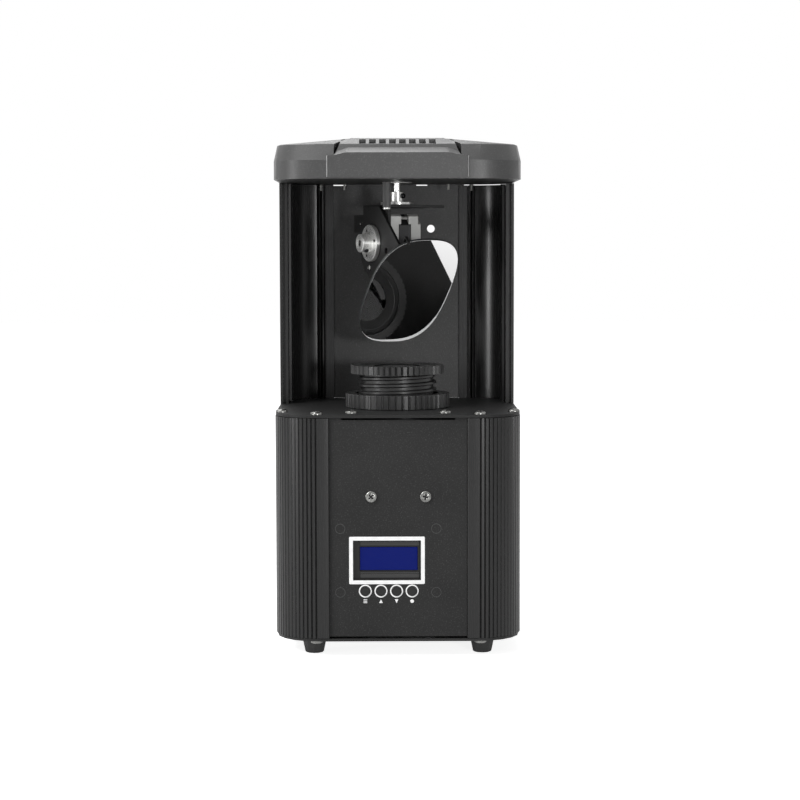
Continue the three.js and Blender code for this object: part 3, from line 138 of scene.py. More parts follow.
@dataclass(frozen=True)
class Finish:
    """A material and how its surface was made: an even colour with clouding, grain and a worn sheen."""

    name: str
    slot: str
    colour: str
    cloud: str
    roughness: float
    spread: float = 0.06
    metallic: float = 0.0
    grain_mm: float = 0.6
    grain_depth_mm: float = 0.02
    cloud_mm: float = 35.0
    stretch: Point = (1.0, 1.0, 1.0)
    coat: float = 0.0
    specular: float = 0.5

    @property
    def grain_scale(self) -> float:
        """The grains in a metre."""
        return 1 / (self.grain_mm * MM)

    def coordinates(self, tree: Tree) -> Socket:
        """Gives the object coordinates, stretched along the way the surface was worked."""
        place = add(tree, "TexCoord").outputs["Object"]
        return add(tree, "Mapping", {"Vector": place, "Scale": self.stretch}).outputs["Vector"]

    def relief(self, tree: Tree, where: Socket) -> Socket:
        """Gives the height pattern of the surface, from 0 to 1."""
        inputs = {"Vector": where, "Scale": self.grain_scale, "Detail": 3.0}
        return add(tree, "TexNoise", inputs).outputs["Fac"]

    def tint(self, tree: Tree, where: Socket) -> Socket:
        """Gives the surface colour with its clouding.

        Args:
            tree: the material's node tree.
            where: the coordinates that the pattern reads.

        Returns:
            The colour.
        """
        inputs = {"Vector": where, "Scale": 1 / (self.cloud_mm * MM), "Detail": 4.0}
        clouds = add(tree, "TexNoise", inputs)
        ramp = add(tree, "MapRange", {0: clouds.outputs["Fac"], 1: 0.35, 2: 0.65})
        colours = {0: ramp, COLOUR_A: linear(self.colour), COLOUR_B: linear(self.cloud)}
        return add(tree, "Mix", colours, data_type="RGBA").outputs[COLOUR_OUT]

    def sheen(self, tree: Tree, height: Socket) -> Socket:
        """Gives the roughness, which follows the relief a little."""
        low, high = self.roughness - self.spread, self.roughness + self.spread
        return add(tree, "MapRange", {0: height, 1: 0.3, 2: 0.7, 3: low, 4: high}).outputs[0]

    def shader(self, tree: Tree) -> Socket:
        """Builds the shader of the surface.

        Args:
            tree: the material's node tree.

        Returns:
            The socket that the material output takes.
        """
        where = self.coordinates(tree)
        height = self.relief(tree, where)
        bump = {"Height": height, "Distance": self.grain_depth_mm * MM, "Strength": 1.0}
        surface = add(tree, "BsdfPrincipled", {
            "Base Color": self.tint(tree, where),
            "Roughness": self.sheen(tree, height),
            "Metallic": self.metallic,
            "Normal": add(tree, "Bump", bump),
            "Coat Weight": self.coat,
            "Specular IOR Level": self.specular,
        })
        return surface.outputs[0]

    def material(self) -> bpy.types.Material:
        """Makes the material once, and gives the same one after that.

        Returns:
            The material.
        """
        made = bpy.data.materials.get(self.name)
        if made:
            return made
        made = bpy.data.materials.new(self.name)
        made.use_nodes = True
        tree = made.node_tree
        tree.nodes.clear()
        add(tree, "OutputMaterial", {"Surface": self.shader(tree)})
        return made


@dataclass(frozen=True)
class PowderFinish(Finish):
    """Powder coat: fused beads of about half a millimetre, with pale painted glints scattered where a bead
    would catch light.
    """

    glint: str = "6a6a6c"
    glint_mm: float = 0.9

    def relief(self, tree: Tree, where: Socket) -> Socket:
        """Gives rounded beads with a finer noise over them.

        Args:
            tree: the material's node tree.
            where: the coordinates that the pattern reads.

        Returns:
            The height.
        """
        beads = {"Vector": where, "Scale": self.grain_scale}
        fine = {"Vector": where, "Scale": 2 * self.grain_scale, "Detail": 2.0}
        near = add(tree, "TexVoronoi", beads, feature="SMOOTH_F1").outputs["Distance"]
        flip = add(tree, "Math", {0: 1.0, 1: near}, operation="SUBTRACT")
        both = {0: add(tree, "TexNoise", fine).outputs["Fac"], 1: 0.4, 2: flip}
        return add(tree, "Math", both, operation="MULTIPLY_ADD").outputs[0]

    def tint(self, tree: Tree, where: Socket) -> Socket:
        """Gives the coat's colour with scattered pale painted glints.

        Args:
            tree: the material's node tree.
            where: the coordinates that the pattern reads.

        Returns:
            The colour.
        """
        base = super().tint(tree, where)
        # painted highlight: pale glints mixed into the colour at random, standing for light caught on the
        # beads
        inputs = {"Vector": where, "Scale": 1 / (self.glint_mm * MM), "Detail": 1.0}
        glints = add(tree, "TexNoise", inputs).outputs["Fac"]
        mask = add(tree, "MapRange", {0: glints, 1: 0.56, 2: 0.8, 3: 0.0, 4: 0.35})
        colours = {0: mask, COLOUR_A: base, COLOUR_B: linear(self.glint)}
        return add(tree, "Mix", colours, data_type="RGBA").outputs[COLOUR_OUT]

    def sheen(self, tree: Tree, height: Socket) -> Socket:
        """Gives the roughness, a little lower on the beads' tops."""
        low, high = self.roughness + self.spread, self.roughness - self.spread
        return add(tree, "MapRange", {0: height, 1: 0.3, 2: 1.2, 3: low, 4: high}).outputs[0]


@dataclass(frozen=True)
class TurnedFinish(Finish):
    """Metal turned on a lathe: fine rings round its own axis, which draw highlights out across them."""

    axis_point_mm: Point = (0.0, 0.0, 0.0)
    axis: Point = (0.0, 0.0, 1.0)
    feed_mm: float = 0.35
    drawn_out: float = 0.7

    def from_axis(self, tree: Tree, where: Socket) -> bpy.types.Node:
        """Gives the way from the axis point to the surface."""
        centre = tuple(c * MM for c in self.axis_point_mm)
        return add(tree, "VectorMath", {0: where, 1: centre}, operation="SUBTRACT")

    def shader(self, tree: Tree) -> Socket:
        """Builds the surface of the finish, with its highlights drawn out across the rings.

        Args:
            tree: the material's node tree.

        Returns:
            The socket that the material output takes.
        """
        made = super().shader(tree)
        offset = self.from_axis(tree, add(tree, "TexCoord").outputs["Object"])
        around = add(tree, "VectorMath", {0: self.axis, 1: offset}, operation="CROSS_PRODUCT")
        along = add(tree, "VectorMath", {0: around}, operation="NORMALIZE")
        surface = made.node.inputs
        tree.links.new(along.outputs[0], surface["Tangent"])
        surface["Anisotropic"].default_value = self.drawn_out
        surface["Anisotropic Rotation"].default_value = 0.25
        return made

    def relief(self, tree: Tree, where: Socket) -> Socket:
        """Gives the tool marks, rings at each feed step along and across the axis.

        Args:
            tree: the material's node tree.
            where: the coordinates that the pattern reads.

        Returns:
            The height.
        """
        offset = self.from_axis(tree, where)
        along = add(tree, "VectorMath", {0: offset, 1: self.axis}, operation="DOT_PRODUCT").outputs[1]
        on_axis = add(tree, "VectorMath", {0: self.axis, "Scale": along}, operation="SCALE")
        radial = add(tree, "VectorMath", {0: offset, 1: on_axis}, operation="SUBTRACT")
        radius = add(tree, "VectorMath", {0: radial}, operation="LENGTH").outputs[1]
        both = add(tree, "Math", {0: radius, 1: along}, operation="ADD")
        turns = 2 * math.pi / (self.feed_mm * MM)
        phase = add(tree, "Math", {0: both, 1: turns}, operation="MULTIPLY")
        wave = add(tree, "Math", {0: phase}, operation="SINE")
        noise = add(tree, "TexNoise", {"Vector": where, "Scale": self.grain_scale}).outputs["Fac"]
        return add(tree, "Math", {0: wave, 1: 0.25, 2: noise}, operation="MULTIPLY_ADD").outputs[0]


@dataclass(frozen=True)
class StackFinish(Finish):
    """Motor laminations: black steel sheets pressed together, which shows as fine lines across the stack."""

    sheet_mm: float = 0.5
    axis: Point = (1.0, 0.0, 0.0)

    def relief(self, tree: Tree, where: Socket) -> Socket:
        """Gives one groove for each sheet of the stack.

        Args:
            tree: the material's node tree.
            where: the coordinates that the pattern reads.

        Returns:
            The height.
        """
        along = add(tree, "VectorMath", {0: where, 1: self.axis}, operation="DOT_PRODUCT").outputs[1]
        turns = 2 * math.pi / (self.sheet_mm * MM)
        phase = add(tree, "Math", {0: along, 1: turns}, operation="MULTIPLY")
        return add(tree, "Math", {0: phase}, operation="SINE").outputs[0]


@dataclass(frozen=True)
class MirrorFinish(Finish):
    """Front-surface mirror glass: a bright coat on its face, with dark ground glass at the edge and back."""

    normal: Point = (0.0, 0.0, 1.0)
    edge: str = "4c4e4e"

    def shader(self, tree: Tree) -> Socket:
        """Mixes the silvered face and the ground edge by where the face points.

        Args:
            tree: the material's node tree.

        Returns:
            The socket that the material output takes.
        """
        facing = add(tree, "NewGeometry").outputs["True Normal"]
        share = add(tree, "VectorMath", {0: facing, 1: self.normal}, operation="DOT_PRODUCT").outputs[1]
        mask = add(tree, "Math", {0: share, 1: 0.9}, operation="GREATER_THAN")
        dust = self.relief(tree, self.coordinates(tree))
        haze = {0: dust, 1: 0.5, 2: 0.8, 3: self.roughness, 4: self.roughness + self.spread}
        silver = add(tree, "BsdfPrincipled", {
            "Base Color": linear(self.colour), "Metallic": 1.0,
            "Roughness": add(tree, "MapRange", haze),
        })
        ground = add(tree, "BsdfPrincipled", {
            "Base Color": linear(self.edge), "Roughness": 0.32, "Metallic": 0.6,
        })
        return add(tree, "MixShader", {0: mask, 1: ground, 2: silver}).outputs[0]


@dataclass(frozen=True)
class GlassFinish(Finish):
    """Optical glass with a thin blue-green coating."""

    ior: float = 1.52

    def shader(self, tree: Tree) -> Socket:
        """Builds clear glass whose coating tints what it mirrors.

        Args:
            tree: the material's node tree.

        Returns:
            The socket that the material output takes.
        """
        where = self.coordinates(tree)
        glass = add(tree, "BsdfPrincipled", {
            "Base Color": self.tint(tree, where),
            "Roughness": self.sheen(tree, self.relief(tree, where)),
            "IOR": self.ior,
            "Transmission Weight": 1.0,
            "Coat Weight": self.coat,
            "Coat Tint": linear(self.cloud),
        })
        return glass.outputs[0]


@dataclass(frozen=True)
class ScreenFinish(Finish):
    """Liquid crystal display: a blue field with a faint grid of cells."""

    cell_mm: float = 0.55
    glow: float = 0.12

    def tint(self, tree: Tree, where: Socket) -> Socket:
        """Gives the blue field, a little lighter in each cell.

        Args:
            tree: the material's node tree.
            where: the coordinates that the pattern reads.

        Returns:
            The colour.
        """
        ways = add(tree, "SeparateXYZ", {0: where}).outputs
        turns = 2 * math.pi / (self.cell_mm * MM)
        lines = []
        for axis in ("X", "Z"):
            phase = add(tree, "Math", {0: ways[axis], 1: turns}, operation="MULTIPLY")
            lines.append(add(tree, "Math", {0: phase}, operation="SINE"))
        grid = add(tree, "Math", {0: lines[0], 1: lines[1]}, operation="MAXIMUM")
        cells = add(tree, "MapRange", {0: grid, 1: 0.2, 2: 1.0, 3: 0.0, 4: 0.5})
        colours = {0: cells, COLOUR_A: linear(self.colour), COLOUR_B: linear(self.cloud)}
        return add(tree, "Mix", colours, data_type="RGBA").outputs[COLOUR_OUT]

    def shader(self, tree: Tree) -> Socket:
        """Builds the glossy screen with its faint own light.

        Args:
            tree: the material's node tree.

        Returns:
            The socket that the material output takes.
        """
        blue = self.tint(tree, self.coordinates(tree))
        screen = add(tree, "BsdfPrincipled", {
            "Base Color": blue, "Roughness": self.roughness, "Emission Color": blue,
            "Emission Strength": self.glow, "Specular IOR Level": self.specular,
        })
        return screen.outputs[0]


ANODISED = Finish("anodised_extrusion", "anodised_aluminium", "191919", "1d1d1d", 0.26, 0.04, 0.0,
                  grain_mm=0.5, grain_depth_mm=0.006, stretch=(1.0, 1.0, 0.02), specular=0.33)
"""Black anodised aluminium, drawn through a die: satin with faint lines along its length."""

POWDER = PowderFinish("panel_powder_coat", "textured_powder_coat", "292929", "2d2d2d", 0.55, 0.08,
                      grain_mm=0.6, grain_depth_mm=0.05, glint="5c5c5c", specular=0.12)
"""Black powder coat on steel sheet, sprayed and baked: a low sheen over fine beads."""

MARK_HIGHLIGHT = PowderFinish("panel_weld_mark", "textured_powder_coat", "3c3c3c", "404040", 0.5, 0.08,
                    grain_mm=0.6, grain_depth_mm=0.05, specular=0.2)
# The same coat on the rings that welded studs raise a little on the sheet, painted paler as a highlight of
# the light they catch.
"""The same coat where a welded stud has raised the sheet a little, so that it catches more light."""

DECK_COAT = PowderFinish("deck_powder_coat", "textured_powder_coat", "242424", "282828", 0.5, 0.08,
                         grain_mm=0.6, grain_depth_mm=0.04, glint="3a3a3a", specular=0.15)
"""Black powder coat of the deck, finer and darker than that of the panels."""

CHAMBER = PowderFinish("chamber_powder_coat", "textured_powder_coat", "3c3c3c", "424242", 0.5, 0.08,
                       grain_mm=0.8, grain_depth_mm=0.06, glint="6e6e6e", specular=0.35)
"""The coat inside the tower, which shows a little paler for its coarser beads."""

BLACK_SHEET = Finish("black_painted_sheet", "black_sheet", "1e1e1e", "242424", 0.42, 0.06,
                     grain_mm=0.5, grain_depth_mm=0.012, specular=0.25)
"""Black painted steel sheet, laser cut and folded: smooth with a satin gloss."""

CAP_PLASTIC = PowderFinish("cap_abs", "cap_plastic", "353535", "393939", 0.4, 0.06,
                           grain_mm=0.8, grain_depth_mm=0.04, glint="626262", specular=0.55)
"""Injection moulded dark grey ABS with a fine spark-eroded grain."""

BEAD_HIGHLIGHT = Finish("cap_bead_abs", "cap_plastic", "8a8a8a", "949494", 0.3, 0.05, grain_mm=0.8,
                      grain_depth_mm=0.01)
# The same ABS, painted pale in thin beads on the fascias' upright edges: a painted highlight of the light
# those edges catch.
"""The same ABS where the mould's edge left it smooth and pale."""

RUBBER = Finish("moulded_rubber", "rubber", "2f2f2f", "383838", 0.7, 0.05, grain_mm=0.8, grain_depth_mm=0.03)
"""Moulded black rubber: dull, with a bloom of paler dust."""

LENS_PLASTIC = Finish("lens_barrel_plastic", "lens_plastic", "202020", "252525", 0.34, 0.05,
                      grain_mm=0.5, grain_depth_mm=0.012, specular=0.4)
"""Moulded black polycarbonate: smooth, with soft highlights on each ridge."""

LENS_GLASS = GlassFinish("coated_lens_glass", "lens_glass", "5e5f60", "545556", 0.02, 0.01)
"""Polished lens glass with an anti-reflection coating."""

FLAT_BLACK = Finish("flat_black_ring", "lens_plastic", "121212", "161616", 0.5, 0.05,
                    grain_mm=0.5, grain_depth_mm=0.01, specular=0.25)
# Matt black lacquer inside the lens, which keeps stray light down; the same black is the painted shade in the
# screw recesses.
"""Matt black lacquer inside the lens, which keeps stray light down."""

MIRROR_EDGE_HIGHLIGHT = Finish("polished_glass_edge", "mirror_face", "ffffff", "fafafa", 0.25, 0.04, 0.1,
                    grain_mm=1.5, grain_depth_mm=0.004)
# A white facet along the mirror's lower edge, which paints the bright highlight of the edge seen in the
# glass.
"""The polished facet along the mirror's lower edge, which flashes white."""

GROUND_STEEL = Finish("ground_steel", "bright_steel", "c8c8c6", "b4b4b2", 0.26, 0.06, 1.0,
                      grain_mm=0.4, grain_depth_mm=0.006, stretch=(1.0, 1.0, 6.0))
"""Ground steel: bright, with fine marks round it."""

DIE_CAST = Finish("die_cast_aluminium", "cast_aluminium", "bebebc", "acacaa", 0.5, 0.08, 0.55,
                  grain_mm=0.9, grain_depth_mm=0.03)
"""Die cast aluminium end bells: pale grey and slightly pitted."""

BLACK_PLASTIC = Finish("black_nylon", "black_plastic", "1a1a1a", "202020", 0.42, 0.06,
                       grain_mm=0.5, grain_depth_mm=0.015, specular=0.25)
"""Moulded black nylon: even, with a soft sheen."""

CIRCUIT_BOARD = Finish("circuit_board_green", "circuit_board", "1d5a3a", "17482e", 0.35, 0.05,
                       grain_mm=1.2, grain_depth_mm=0.02, cloud_mm=3.0)
"""Glass fibre board under green solder lacquer."""

POST_PLASTIC = Finish("stop_post_nylon", "black_plastic", "3a3a3a", "424242", 0.32, 0.05, grain_mm=0.5,
                      grain_depth_mm=0.01, specular=0.5)
"""Machined black nylon of the stop post, polished grey by wear."""

BEZEL = Finish("screen_bezel", "black_plastic", "343434", "3a3a3a", 0.35, 0.05, grain_mm=0.4,
               grain_depth_mm=0.01, specular=0.3)
"""The painted steel frame that holds the display glass."""

SCREEN = ScreenFinish("blue_lcd", "blue_screen", "0e1a62", "141f6c", 0.12, 0.02, specular=0.05)
"""Blue liquid crystal display behind a glossy film."""

LED_PACKAGE = Finish("led_package", "led_face", "d9c772", "cbb65c", 0.3, 0.04, grain_mm=0.4)
"""Yellow phosphor over the LED chips, cast in silicone."""

WHITE_INK = Finish("white_print", "textured_powder_coat", "fafafa", "f2f2f2", 0.45, 0.05,
                   grain_mm=0.6, grain_depth_mm=0.01, cloud_mm=4.0)
"""White screen-printing ink on the coat: thin and slightly uneven."""

ZINC_SCREW = Finish("zinc_plated_screw", "bright_steel", "8a8a88", "666664", 0.24, 0.08, 1.0,
                    grain_mm=0.3, grain_depth_mm=0.01, cloud_mm=2.0)
# Zinc plated steel screws: grey and a little uneven, darker than bare plating as a painted dark reflection of
# the room.
"""Zinc plated steel screws: bright grey, a little uneven."""

LIT_SCREW_END = Finish("zinc_plated_screw_end", "bright_steel", "d0d0cc", "b4b4b0", 0.35, 0.08, 0.45,
                    grain_mm=0.5, grain_depth_mm=0.01)
# Zinc plated screw ends, painted paler than the heads: a painted highlight on ends that stand in the shade at
# the top of the tower.
"""The cut end of a zinc plated screw, paler than its head."""

BLACK_SCREW = Finish("black_oxide_screw", "black_sheet", "1a1a1c", "242426", 0.32, 0.06, 0.6,
                     grain_mm=0.3, grain_depth_mm=0.01, cloud_mm=2.0)
"""Blackened steel screws: dark with a metal gleam."""

CLEAR_GLASS = GlassFinish("condenser_glass", "lens_glass", "f4f6f4", "e6efe9", 0.03, 0.01)
"""Pressed condenser glass, clear and slightly green."""

COLOUR_GLASS = GlassFinish("filter_glass", "colour_glass", "bcd2e8", "e6c3cf", 0.03, 0.01,
                           cloud_mm=14.0, coat=0.8)
"""Dichroic filter glass, whose colour changes from place to place."""


def linked(name: str, data: bpy.types.ID) -> bpy.types.Object:
    """Puts a mesh, lamp or camera in the scene as an object at the origin.

    Args:
        name: the object's name.
        data: what it shows.

    Returns:
        The new object.
    """
    made = bpy.data.objects.new(name, data)
    bpy.context.scene.collection.objects.link(made)
    return made


def finished_object(name: str, mesh: bpy.types.Mesh, finish: Finish) -> bpy.types.Object:
    """Puts a finished mesh in the scene at the origin.

    Args:
        name: the piece's name.
        mesh: its mesh, in place.
        finish: its surface.

    Returns:
        The new object.
    """
    mesh.materials.clear()
    mesh.materials.append(finish.material())
    return linked(name, mesh)


def show(piece: bpy.types.Object, body: str, finish: Finish, *stands_for: str) -> bpy.types.Object:
    """Puts a piece on a CAD body and what it stands for, and logs it.

    Args:
        piece: the piece.
        body: the CAD body that carries it.
        finish: its surface, whose name the log gives.
        stands_for: the CAD nodes that it replaces.

    Returns:
        The same piece.
    """
    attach(piece, body)
    if stands_for:
        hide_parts(*stands_for)
    log.info("%s on %s, %s", piece.name, body, finish.name)
    return piece


def soften(form: Form, angle_deg: float) -> None:
    """Shades a form smooth, apart from its sharp edges.

    Args:
        form: the form.
        angle_deg: edges sharper than this stay sharp.
    """
    for face in form.faces:
        face.smooth = True
    for edge in form.edges:
        edge.smooth = edge.calc_face_angle(math.pi) < math.radians(angle_deg)


def to_mesh(form: Form, name: str, angle_deg: float = SHARP_DEG) -> bpy.types.Mesh:
    """Turns a form into a mesh with outward normals and sharp edges kept.

    Args:
        form: the form, which is freed.
        name: the mesh's name.
        angle_deg: edges sharper than this stay sharp.

    Returns:
        The new mesh.
    """
    bmesh.ops.remove_doubles(form, verts=form.verts, dist=MERGE_M)
    bmesh.ops.recalc_face_normals(form, faces=form.faces)
    soften(form, angle_deg)
    mesh = bpy.data.meshes.new(name)
    form.to_mesh(mesh)
    form.free()
    return mesh


def fit(form: Form, name: str, body: str, finish: Finish, angle_deg: float = SHARP_DEG) -> None:
    """Turns a form into a finished piece that rides on a body.

    Args:
        form: the form, which is freed.
        name: the piece's name.
        body: the CAD body that carries it.
        finish: its surface.
        angle_deg: edges sharper than this stay sharp.
    """
    show(finished_object(name, to_mesh(form, name, angle_deg), finish), body, finish)


def lathe(profile: Outline, steps: int, centre: Point, axis: Vector) -> Form:
    """Turns a closed or axis-to-axis profile round an axis.

    Args:
        profile: radius and height pairs in millimetres.
        steps: facets round the axis.
        centre: the point of height 0 on the axis, in millimetres.
        axis: the direction of rising height.

    Returns:
        The turned form in metres.
    """
    form = bmesh.new()
    turn = axis.to_track_quat("Z", "Y").to_matrix().to_4x4()
    place = Matrix.Translation(Vector(centre) * MM) @ turn
    rings = []
    for radius, height in profile:
        rings.append([form.verts.new(place @ Vector((x, y, height * MM)))
                      for x, y in circle(radius * MM, steps)])
    for low, high in zip(rings, rings[1:]):
        for i in range(steps):
            j = (i + 1) % steps
            form.faces.new((low[i], low[j], high[j], high[i]))
    bmesh.ops.remove_doubles(form, verts=form.verts, dist=MERGE_M)
    bmesh.ops.dissolve_degenerate(form, dist=SLIVER_M, edges=form.edges)
    return form


def plate(outline: Outline, low: float, high: float, place: Place) -> Form:
    """Thickens a flat outline.

    Args:
        outline: points across the plate, in millimetres.
        low: where the plate starts.
        high: where it ends.
        place: turns across, up and through into a point in millimetres.

    Returns:
        The plate in metres.
    """
    form = bmesh.new()
    loops = [[form.verts.new(Vector(place(u, v, w)) * MM) for u, v in outline] for w in (low, high)]
    form.faces.new(loops[0])
    form.faces.new(list(reversed(loops[1])))
    for i in range(len(outline)):
        j = (i + 1) % len(outline)
        form.faces.new((loops[0][i], loops[0][j], loops[1][j], loops[1][i]))
    return form


def joined(*forms: Form) -> Form:
    """Gathers several forms into one.

    Args:
        forms: the forms, of which all but the first are freed.

    Returns:
        The first form, with the others in it.
    """
    first = forms[0]
    for other in forms[1:]:
        carrier = bpy.data.meshes.new("carrier")
        other.to_mesh(carrier)
        other.free()
        first.from_mesh(carrier)
        bpy.data.meshes.remove(carrier)
    return first


def circle(radius: float, steps: int, x: float = 0.0, y: float = 0.0) -> list[Pair]:
    """Gives the points of a circle."""
    return [(x + radius * math.cos(2 * math.pi * i / steps), y + radius * math.sin(2 * math.pi * i / steps))
            for i in range(steps)]


def band(outer: Outline, inner: Outline, low: float, high: float, place: Place) -> Form:
    """Makes a flat frame between two outlines with the same number of points.

    Args:
        outer: the outer outline, in millimetres.
        inner: the inner outline.
        low: where the frame starts.
        high: where it ends.
        place: turns across, up and through into a point in millimetres.

    Returns:
        The frame in metres.
    """
    form = bmesh.new()
    loops = [[form.verts.new(Vector(place(u, v, w)) * MM) for u, v in line]
             for line, w in ((outer, low), (outer, high), (inner, high), (inner, low))]
    for k in range(4):
        a, b = loops[k], loops[(k + 1) % 4]
        for i in range(len(outer)):
            j = (i + 1) % len(outer)
            form.faces.new((a[i], a[j], b[j], b[i]))
    return form


def ring(radius: float, stroke: float, steps: int, x: float, z: float, low: float, high: float,
         face: float) -> Form:
    """Makes a flat ring on a front face.

    Args:
        radius: the outer radius, in millimetres.
        stroke: the width of the ring.
        steps: facets round it.
        x: the middle across.
        z: the middle upwards.
        low: where the ring starts, out of the face.
        high: where it ends.
        face: how far back the face lies.

    Returns:
        The ring in metres.
    """
    return band(circle(radius, steps, x, z), circle(radius - stroke, steps, x, z), low, high, on_front(face))


def rounded_box(half_u: float, half_v: float, corner: float, steps: int, u: float, v: float) -> list[Pair]:
    """Gives the outline of a rectangle with round corners.

    Args:
        half_u: half the width, in millimetres.
        half_v: half the height.
        corner: the radius of its corners.
        steps: facets in each corner.
        u: the middle across.
        v: the middle upwards.

    Returns:
        The points of the outline.
    """
    points = []
    for k, (su, sv) in enumerate(((1, 1), (-1, 1), (-1, -1), (1, -1))):
        for i in range(steps + 1):
            angle = math.pi / 2 * (k + i / steps)
            points.append((u + su * (half_u - corner) + corner * math.cos(angle),
                           v + sv * (half_v - corner) + corner * math.sin(angle)))
    return points


def on_front(y_face: float) -> Place:
    """Places an outline seen from the front on a face, thickened towards the viewer."""
    return lambda u, v, w: (u, y_face - w, v)


def rearwards(u: float, v: float, w: float) -> Point:
    """Places an outline seen from the front, thickened towards the rear."""
    return u, w, v


def sideways(u: float, v: float, w: float) -> Point:
    """Places an outline seen from the side, with the rear as its first way, thickened to the right."""
    return w, u, v


def upright(u: float, v: float, w: float) -> Point:
    """Places an outline seen from above, thickened upwards."""
    return u, v, w


@dataclass
class CadDress:
    """Dresses CAD nodes: each gets a merged copy with softened edges, or keeps its own mesh, and a finish."""

    nodes: dict[str, bpy.types.Object]

    def body_of(self, node: str) -> str:
        """Gives the body that a CAD node rides on."""
        return self.nodes[node]["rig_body"]

    def keep(self, finish: Finish, *names: str) -> None:
        """Leaves nodes as they are, with a finish.

        Args:
            finish: the surface of the nodes.
            names: the nodes.
        """
        for name in names:
            node = self.nodes[name]
            node.data.materials.clear()
            node.data.materials.append(finish.material())
            log.info("%s kept, %s", name, finish.name)

    def soften(self, finish: Finish, edge_mm: float, *names: str, angle_deg: float = SHARP_DEG) -> None:
        """Replaces nodes by merged copies whose sharp edges are broken by a small round.

        Args:
            finish: the surface of the pieces.
            edge_mm: the width of the broken edge, in millimetres.
            names: the nodes.
            angle_deg: edges sharper than this are broken.
        """
        for name in names:
            form = bmesh.new()
            form.from_mesh(self.nodes[name].data)
            bmesh.ops.remove_doubles(form, verts=form.verts, dist=CAD_MERGE_M)
            flat = math.radians(FLAT_DEG)
            bmesh.ops.dissolve_limit(form, angle_limit=flat, verts=form.verts, edges=form.edges)
            soften(form, angle_deg)
            mesh = bpy.data.meshes.new(f"{name}_form")
            form.to_mesh(mesh)
            form.free()
            piece = finished_object(f"{name}_shell", mesh, finish)
            if edge_mm > 0:
                break_edges(piece, edge_mm, angle_deg)
            show(piece, self.body_of(name), finish, name)


def cut_by(piece: bpy.types.Object, cutter: Form) -> None:
    """Takes the cutter's shape out of a piece.

    Args:
        piece: the piece, whose mesh is changed.
        cutter: the shape to take out, which is freed.
    """
    tool = linked("cutter", to_mesh(cutter, "cutter"))
    cut = piece.modifiers.new("cut", "BOOLEAN")
    cut.operation = "DIFFERENCE"
    cut.solver = "EXACT"
    cut.object = tool
    evaluated = piece.evaluated_get(bpy.context.evaluated_depsgraph_get())
    piece.data = bpy.data.meshes.new_from_object(evaluated)
    piece.modifiers.clear()
    bpy.data.objects.remove(tool)


def break_edges(piece: bpy.types.Object, edge_mm: float, angle_deg: float = SHARP_DEG) -> None:
    """Rounds a piece's sharp edges a little.

    Args:
        piece: the piece.
        edge_mm: the width of the round.
        angle_deg: edges sharper than this are rounded.
    """
    bevel = piece.modifiers.new("broken_edge", "BEVEL")
    bevel.width = edge_mm * MM
    bevel.segments = 2
    bevel.limit_method = "ANGLE"
    bevel.angle_limit = math.radians(angle_deg)
    bevel.harden_normals = True


@dataclass
class ScrewKind:
    """One kind of screw head, with the recess that a driver fits, in millimetres."""

    name: str
    finish: Finish
    radius: float = 4.15
    height: float = 2.2
    recess: float = 2.1
    recess_width: float = 1.15
    recess_depth: float = 1.9
    hexagon: bool = False
    steps: int = 28
    crown_steps: int = 5
    shoulder: float = 0.42
    sunk: float = 0.3

    def head(self) -> bpy.types.Object:
        """Builds the head at the origin, standing along +Z.

        Returns:
            The head, whose mesh the screw tree repeats.
        """
        base = self.height * self.shoulder
        profile = [(0.0, -self.sunk), (self.radius, -self.sunk), (self.radius, base)]
        for step in range(1, self.crown_steps):
            turn = step * math.pi / 2 / self.crown_steps
            profile.append((self.radius * math.cos(turn), base + (self.height - base) * math.sin(turn)))
        form = lathe(profile + [(0.0, self.height)], self.steps, (0, 0, 0), Facing.UP.way)
        head = linked(f"{self.name}_head", to_mesh(form, f"{self.name}_head"))
        cut_by(head, self.tip(self.height - self.recess_depth, self.height + 1))
        return head

    def tip(self, low: float, top: float) -> Form:
        """Builds the shape of the driver's tip: a cross, or a hexagon.

        Args:
            low: the height of its end, in millimetres above the seat.
            top: the height where it stops.

        Returns:
            The form.
        """
        if self.hexagon:
            return plate(circle(self.recess, 6), low, top, upright)
        half = self.recess_width / 2
        cross = [(half, self.recess), (-half, self.recess), (-half, half), (-self.recess, half),
                 (-self.recess, -half), (-half, -half), (-half, -self.recess), (half, -self.recess),
                 (half, -half), (self.recess, -half), (self.recess, half), (half, half)]
        return plate(cross, low, top, upright)


@dataclass
class RecessShadeKind(ScrewKind):
    """Painted shade in a driver's recess: a dark block over its floor that stands for the shadow gathered
    there.
    """

    below_crown: float = 0.6

    def head(self) -> bpy.types.Object:
        """Builds the dark block of painted shade in the recess, which the screw tree repeats in the heads of
        the same places.
        """
        form = self.tip(self.height - self.recess_depth - 0.1, self.height - self.below_crown)
        return linked(f"{self.name}_floor", to_mesh(form, f"{self.name}_floor"))


@dataclass
class TipKind:
    """The threaded end of a screw that comes through what it holds, in millimetres."""

    name: str
    finish: Finish
    radius: float = 1.6
    length: float = 5.2
    pitch: float = 0.8
    depth: float = 0.3
    steps: int = 20

    def head(self) -> bpy.types.Object:
        """Builds the end at the origin, standing along +Z.

        Returns:
            The end, whose mesh the screw tree repeats.
        """
        turns = int(self.length / self.pitch)
        profile = [(0.0, 0.0), (self.radius - self.depth, 0.0)]
        for i in range(turns):
            profile.append((self.radius, (i + 0.5) * self.pitch))
            profile.append((self.radius - self.depth, (i + 1) * self.pitch))
        profile.append((0.0, turns * self.pitch))
        form = lathe(profile, self.steps, (0, 0, 0), Facing.UP.way)
        return linked(f"{self.name}_end", to_mesh(form, f"{self.name}_end", angle_deg=60.0))


